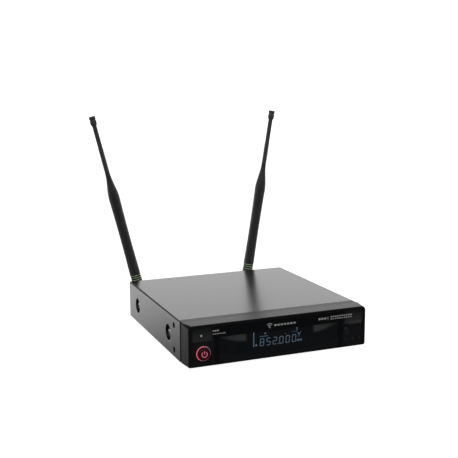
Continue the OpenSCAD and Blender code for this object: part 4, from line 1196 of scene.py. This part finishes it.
def whip_sleeve():
    """Tongue with its pin hole, the collars over it and the waisted sleeve."""
    tongue = slab(arc(range(180, 361, 6), TONGUE_R) + [(TONGUE_R, 10), (-TONGUE_R, 10)],
                  -TONGUE_HALF, TONGUE_HALF)
    hole_r = PIN_R + 0.1
    tongue = carved(tongue, lathe([(0, -4), (hole_r, -4), (hole_r, 4), (0, 4)], ACROSS, 32))
    low_r, collar_r, core_r = 6.6, 7.0, 5.2
    collar = softened([(0, 9.5), (low_r, 9.5), (collar_r, 10.0), (collar_r, 14.6), (low_r, 14.9),
                       (low_r, 15.3), (collar_r, 15.6), (collar_r, BAND_LOW - 0.3),
                       (low_r, BAND_LOW), (core_r, BAND_LOW), (core_r, BAND_TOP)], 0.25)
    start = BAND_TOP + 0.35
    waist = [(core_r, BAND_TOP), (SLEEVE_R - 0.4, BAND_TOP), (SLEEVE_R - 0.05, start)]
    steps = 40
    heights = [start + (TAPER_END - start) * i / steps for i in range(1, steps + 1)]
    waist += [(sleeve_radius(s), s) for s in heights] + [(0, TAPER_END)]
    return joined(tongue, lathe(collar + waist))


def whip_band():
    """Ringed band: three beads along it."""
    outline = [(5.25, BAND_LOW + 0.05)]
    for middle in RIDGES:
        outline += arc(range(-90, 91, 15), 0.95, 5.8, middle, 1.32)
    return lathe(outline + [(5.25, BAND_TOP - 0.05)], ring=True)


def whip_painted_crest_highlights():
    """Pale green lines on the crests of the beads: painted highlights, standing in for the light the
    crests catch.
    """
    return joined(*[lathe(arc(range(0, 360, 30), 0.34, 6.75, middle, 0.4), ring=True)
                    for middle in RIDGES])


def whip_mast():
    return turned([(0, TAPER_END - 2), (MAST_R - 0.02, TAPER_END - 2),
                   (MAST_R - 0.02, TAPER_END + 1), (MAST_R - 0.12, CAP_LOW + 0.5),
                   (0, CAP_LOW + 0.5)], 0.2, None, 40)


def whip_tip():
    return turned([(0, CAP_LOW), (MAST_R + 0.1, CAP_LOW), (TIP_R - 0.4, CAP_LOW + 1.6),
                   (TIP_R, CAP_LOW + 3), (TIP_R, CAP_LOW + 6.2), (TIP_R - 0.5, CAP_LOW + 7.2),
                   (TIP_R - 0.5, CAP_LOW + 8), (TIP_R, CAP_LOW + 8.6), (TIP_R, WHIP_LEN - 0.5),
                   (TIP_R - 0.6, WHIP_LEN), (0, WHIP_LEN)], 0.5, None, 40)


# the pale lines on the crests of the bands are painted highlights
# part of a piece's name, its shape, its CAD node, its material and how the piece is made
WHIP_PARTS = (("sleeve", whip_sleeve, "sleeve", WHIP_PLASTIC_PAINTED_SHEEN, stand_in),
              ("band", whip_band, "rings", BAND_PLASTIC, stand_in),
              ("ribs", whip_painted_crest_highlights, "rings", RIB_PAINTED_HIGHLIGHT, finish_piece),
              ("mast", whip_mast, "mast", MAST_PLASTIC_PAINTED_SHEEN, stand_in),
              ("tip", whip_tip, "tip", MAST_PLASTIC_PAINTED_SHEEN, stand_in))


def build_whips():
    for side in SIDES:
        at = whip_frame(side)
        build_elbow(side, at)
        for part, shape, node, material, make in WHIP_PARTS:
            make(f"whip_{part}_{side}", moved(shape(), at), f"{node}_{side}", material, f"whip_{side}")


# ---- CAD nodes that keep their shape ----

KEPT = (
    (PAINT, "chassis_base"), (BLACK_STEEL, "ear_nuts"), (LCD_GLASS, "lcd_glass"),
    (BACKLIGHT_GLOW, "lcd_backlight"), (BOARD, "front_pcb", "main_pcb"),
    (DARK_PLASTIC, "lcd_frame", "power_switch", "button_switches", "main_ics", "voltage_regulator"),
    (PALE_PLASTIC, "power_plunger", "set_plunger", "flat_cable_connectors"), (ZINC, "pcb_screws"),
    (BRASS, "pcb_standoffs"), (TINPLATE, "tuner_shields", "level_pot"), (ANODISED, "heatsink"),
    (CAP_SLEEVE, "electrolytic_caps"), (CABLE_GREY, "flat_cable"), (COAX_BROWN, "coax_leads"),
    (NICKEL, "antenna_socket_nuts", "level_shaft"),
)


def dress_kept_nodes():
    for material, *nodes in KEPT:
        for node in nodes:
            materials = frame["nodes"][node].data.materials
            materials.clear()
            materials.append(material)


# ---- camera, floor and light ----

CAMERA_LENS = 64.22
CAMERA_PLACE = (-0.3688, -0.8807, 0.2852)
CAMERA_RIGHT = Vector((0.92582, -0.37794, -0.00424))
CAMERA_UP = Vector((0.06848, 0.15672, 0.98527))
FLOOR_GLOW = 0.93
KEY_WATTS = 14
FILL_WATTS = 12
# directions are parts of a unit vector: X to the right, Y to the back, Z up
BACKDROP_SPREAD = (-0.1, 0.6)
BACKDROP_TOP = (0.4, 0.55)
BACKDROP_FOOT = (-0.338, -0.242)
FOOT_LEVEL = 0.03
FLAG_SIDE = (0.12, -0.04)
FLAG_UNDER = (0.0, 0.1)
FLAG_DEPTH = 0.86
BACKDROP_LEVEL = 1.4
WALL_SPREAD = (-0.35, -0.75)
WALL_FOOT = (0.08, 0.22)
WALL_LEVEL = 0.35
ROOM_LEVEL = 0.05


def build_camera():
    """Three-quarter view from the front left, a little above the case."""
    data = configured(bpy.data.cameras.new("camera"), lens=CAMERA_LENS, sensor_width=36, clip_end=50)
    camera = bpy.data.objects.new("camera", data)
    scene.collection.objects.link(camera)
    back = CAMERA_RIGHT.cross(CAMERA_UP)
    turn = Matrix((CAMERA_RIGHT, CAMERA_UP, back)).transposed().to_4x4()
    camera.matrix_world = Matrix.Translation(CAMERA_PLACE) @ turn
    scene.camera = camera


def build_floor():
    """Pale paper lit from below, so only a trace of the case's shadow shows on it."""
    floor = mesh_object("floor", block((-3000, -3000, FLOOR_Z - 2), (3000, 3000, FLOOR_Z)))
    floor.data.transform(Matrix.Scale(MM, 4))
    look = Look("pale_floor", (0.9, 0.9, 0.9), 0.7, 0.0)
    look.feed("Emission Color", (1, 1, 1, 1))
    look.feed("Emission Strength", FLOOR_GLOW)
    floor.data.materials.append(look.material)
    floor.visible_diffuse = False
    floor.visible_glossy = False


def area_light(name, place, side, watts):
    """Square light, hidden from the camera and aimed a little above the case's middle."""
    data = configured(bpy.data.lights.new(name, "AREA"), shape="RECTANGLE", size=side, size_y=side,
                      energy=watts)
    light = bpy.data.objects.new(name, data)
    scene.collection.objects.link(light)
    direction = Vector((0, 0, 50)) - Vector(place)
    turn = direction.to_track_quat("-Z", "Y").to_matrix().to_4x4()
    light.matrix_world = Matrix.Translation(Vector(place) * MM) @ turn
    light.visible_camera = False
    return light


def build_world():
    """A bright backdrop low behind the case with a black flag on its left, a wall in front, a dim room."""
    world = bpy.data.worlds.new("studio")
    world.use_nodes = True
    tree = world.node_tree
    across, back, up = place_axes(tree, "Generated")
    flag = times(ramp(across, *FLAG_SIDE), ramp(up, *FLAG_UNDER))
    behind = times(ramp(back, *BACKDROP_SPREAD), less(1.0, times(flag, FLAG_DEPTH)))
    under_top = ramp(up, *BACKDROP_TOP, 1, 0)
    above_foot = ramp(up, *BACKDROP_FOOT, FOOT_LEVEL, 1)
    backdrop = times(times(behind, under_top), above_foot)
    wall = times(ramp(back, *WALL_SPREAD), ramp(up, *WALL_FOOT))
    room = calc("MULTIPLY_ADD", wall, WALL_LEVEL, ROOM_LEVEL)
    level = calc("MULTIPLY_ADD", backdrop, BACKDROP_LEVEL, room)
    seen = add_node(tree, "LightPath", (), "Is Camera Ray")
    inputs = tree.nodes["Background"].inputs
    connect(tree, (1, 1, 1, 1), inputs["Color"])
    connect(tree, calc("MAXIMUM", level, seen), inputs["Strength"])
    scene.world = world


def build_light():
    build_world()
    area_light("key", (-1500, -900, 1900), 1.4, KEY_WATTS)
    area_light("fill", (500, -2200, 700), 1.6, FILL_WATTS).visible_glossy = False


for build in (build_camera, build_floor, build_light, build_cover, build_rear_panel, build_feet,
              build_side_screws, build_under_screws, build_bezel, build_front_panel, build_window,
              build_display, build_marks, build_power_button, build_small_buttons, build_indicator,
              build_antenna_mounts, build_xlr, build_jack, build_dc_inlet, build_knob,
              build_rear_marks, build_whips, dress_kept_nodes):
    build()
scene.view_settings.view_transform = "Standard"
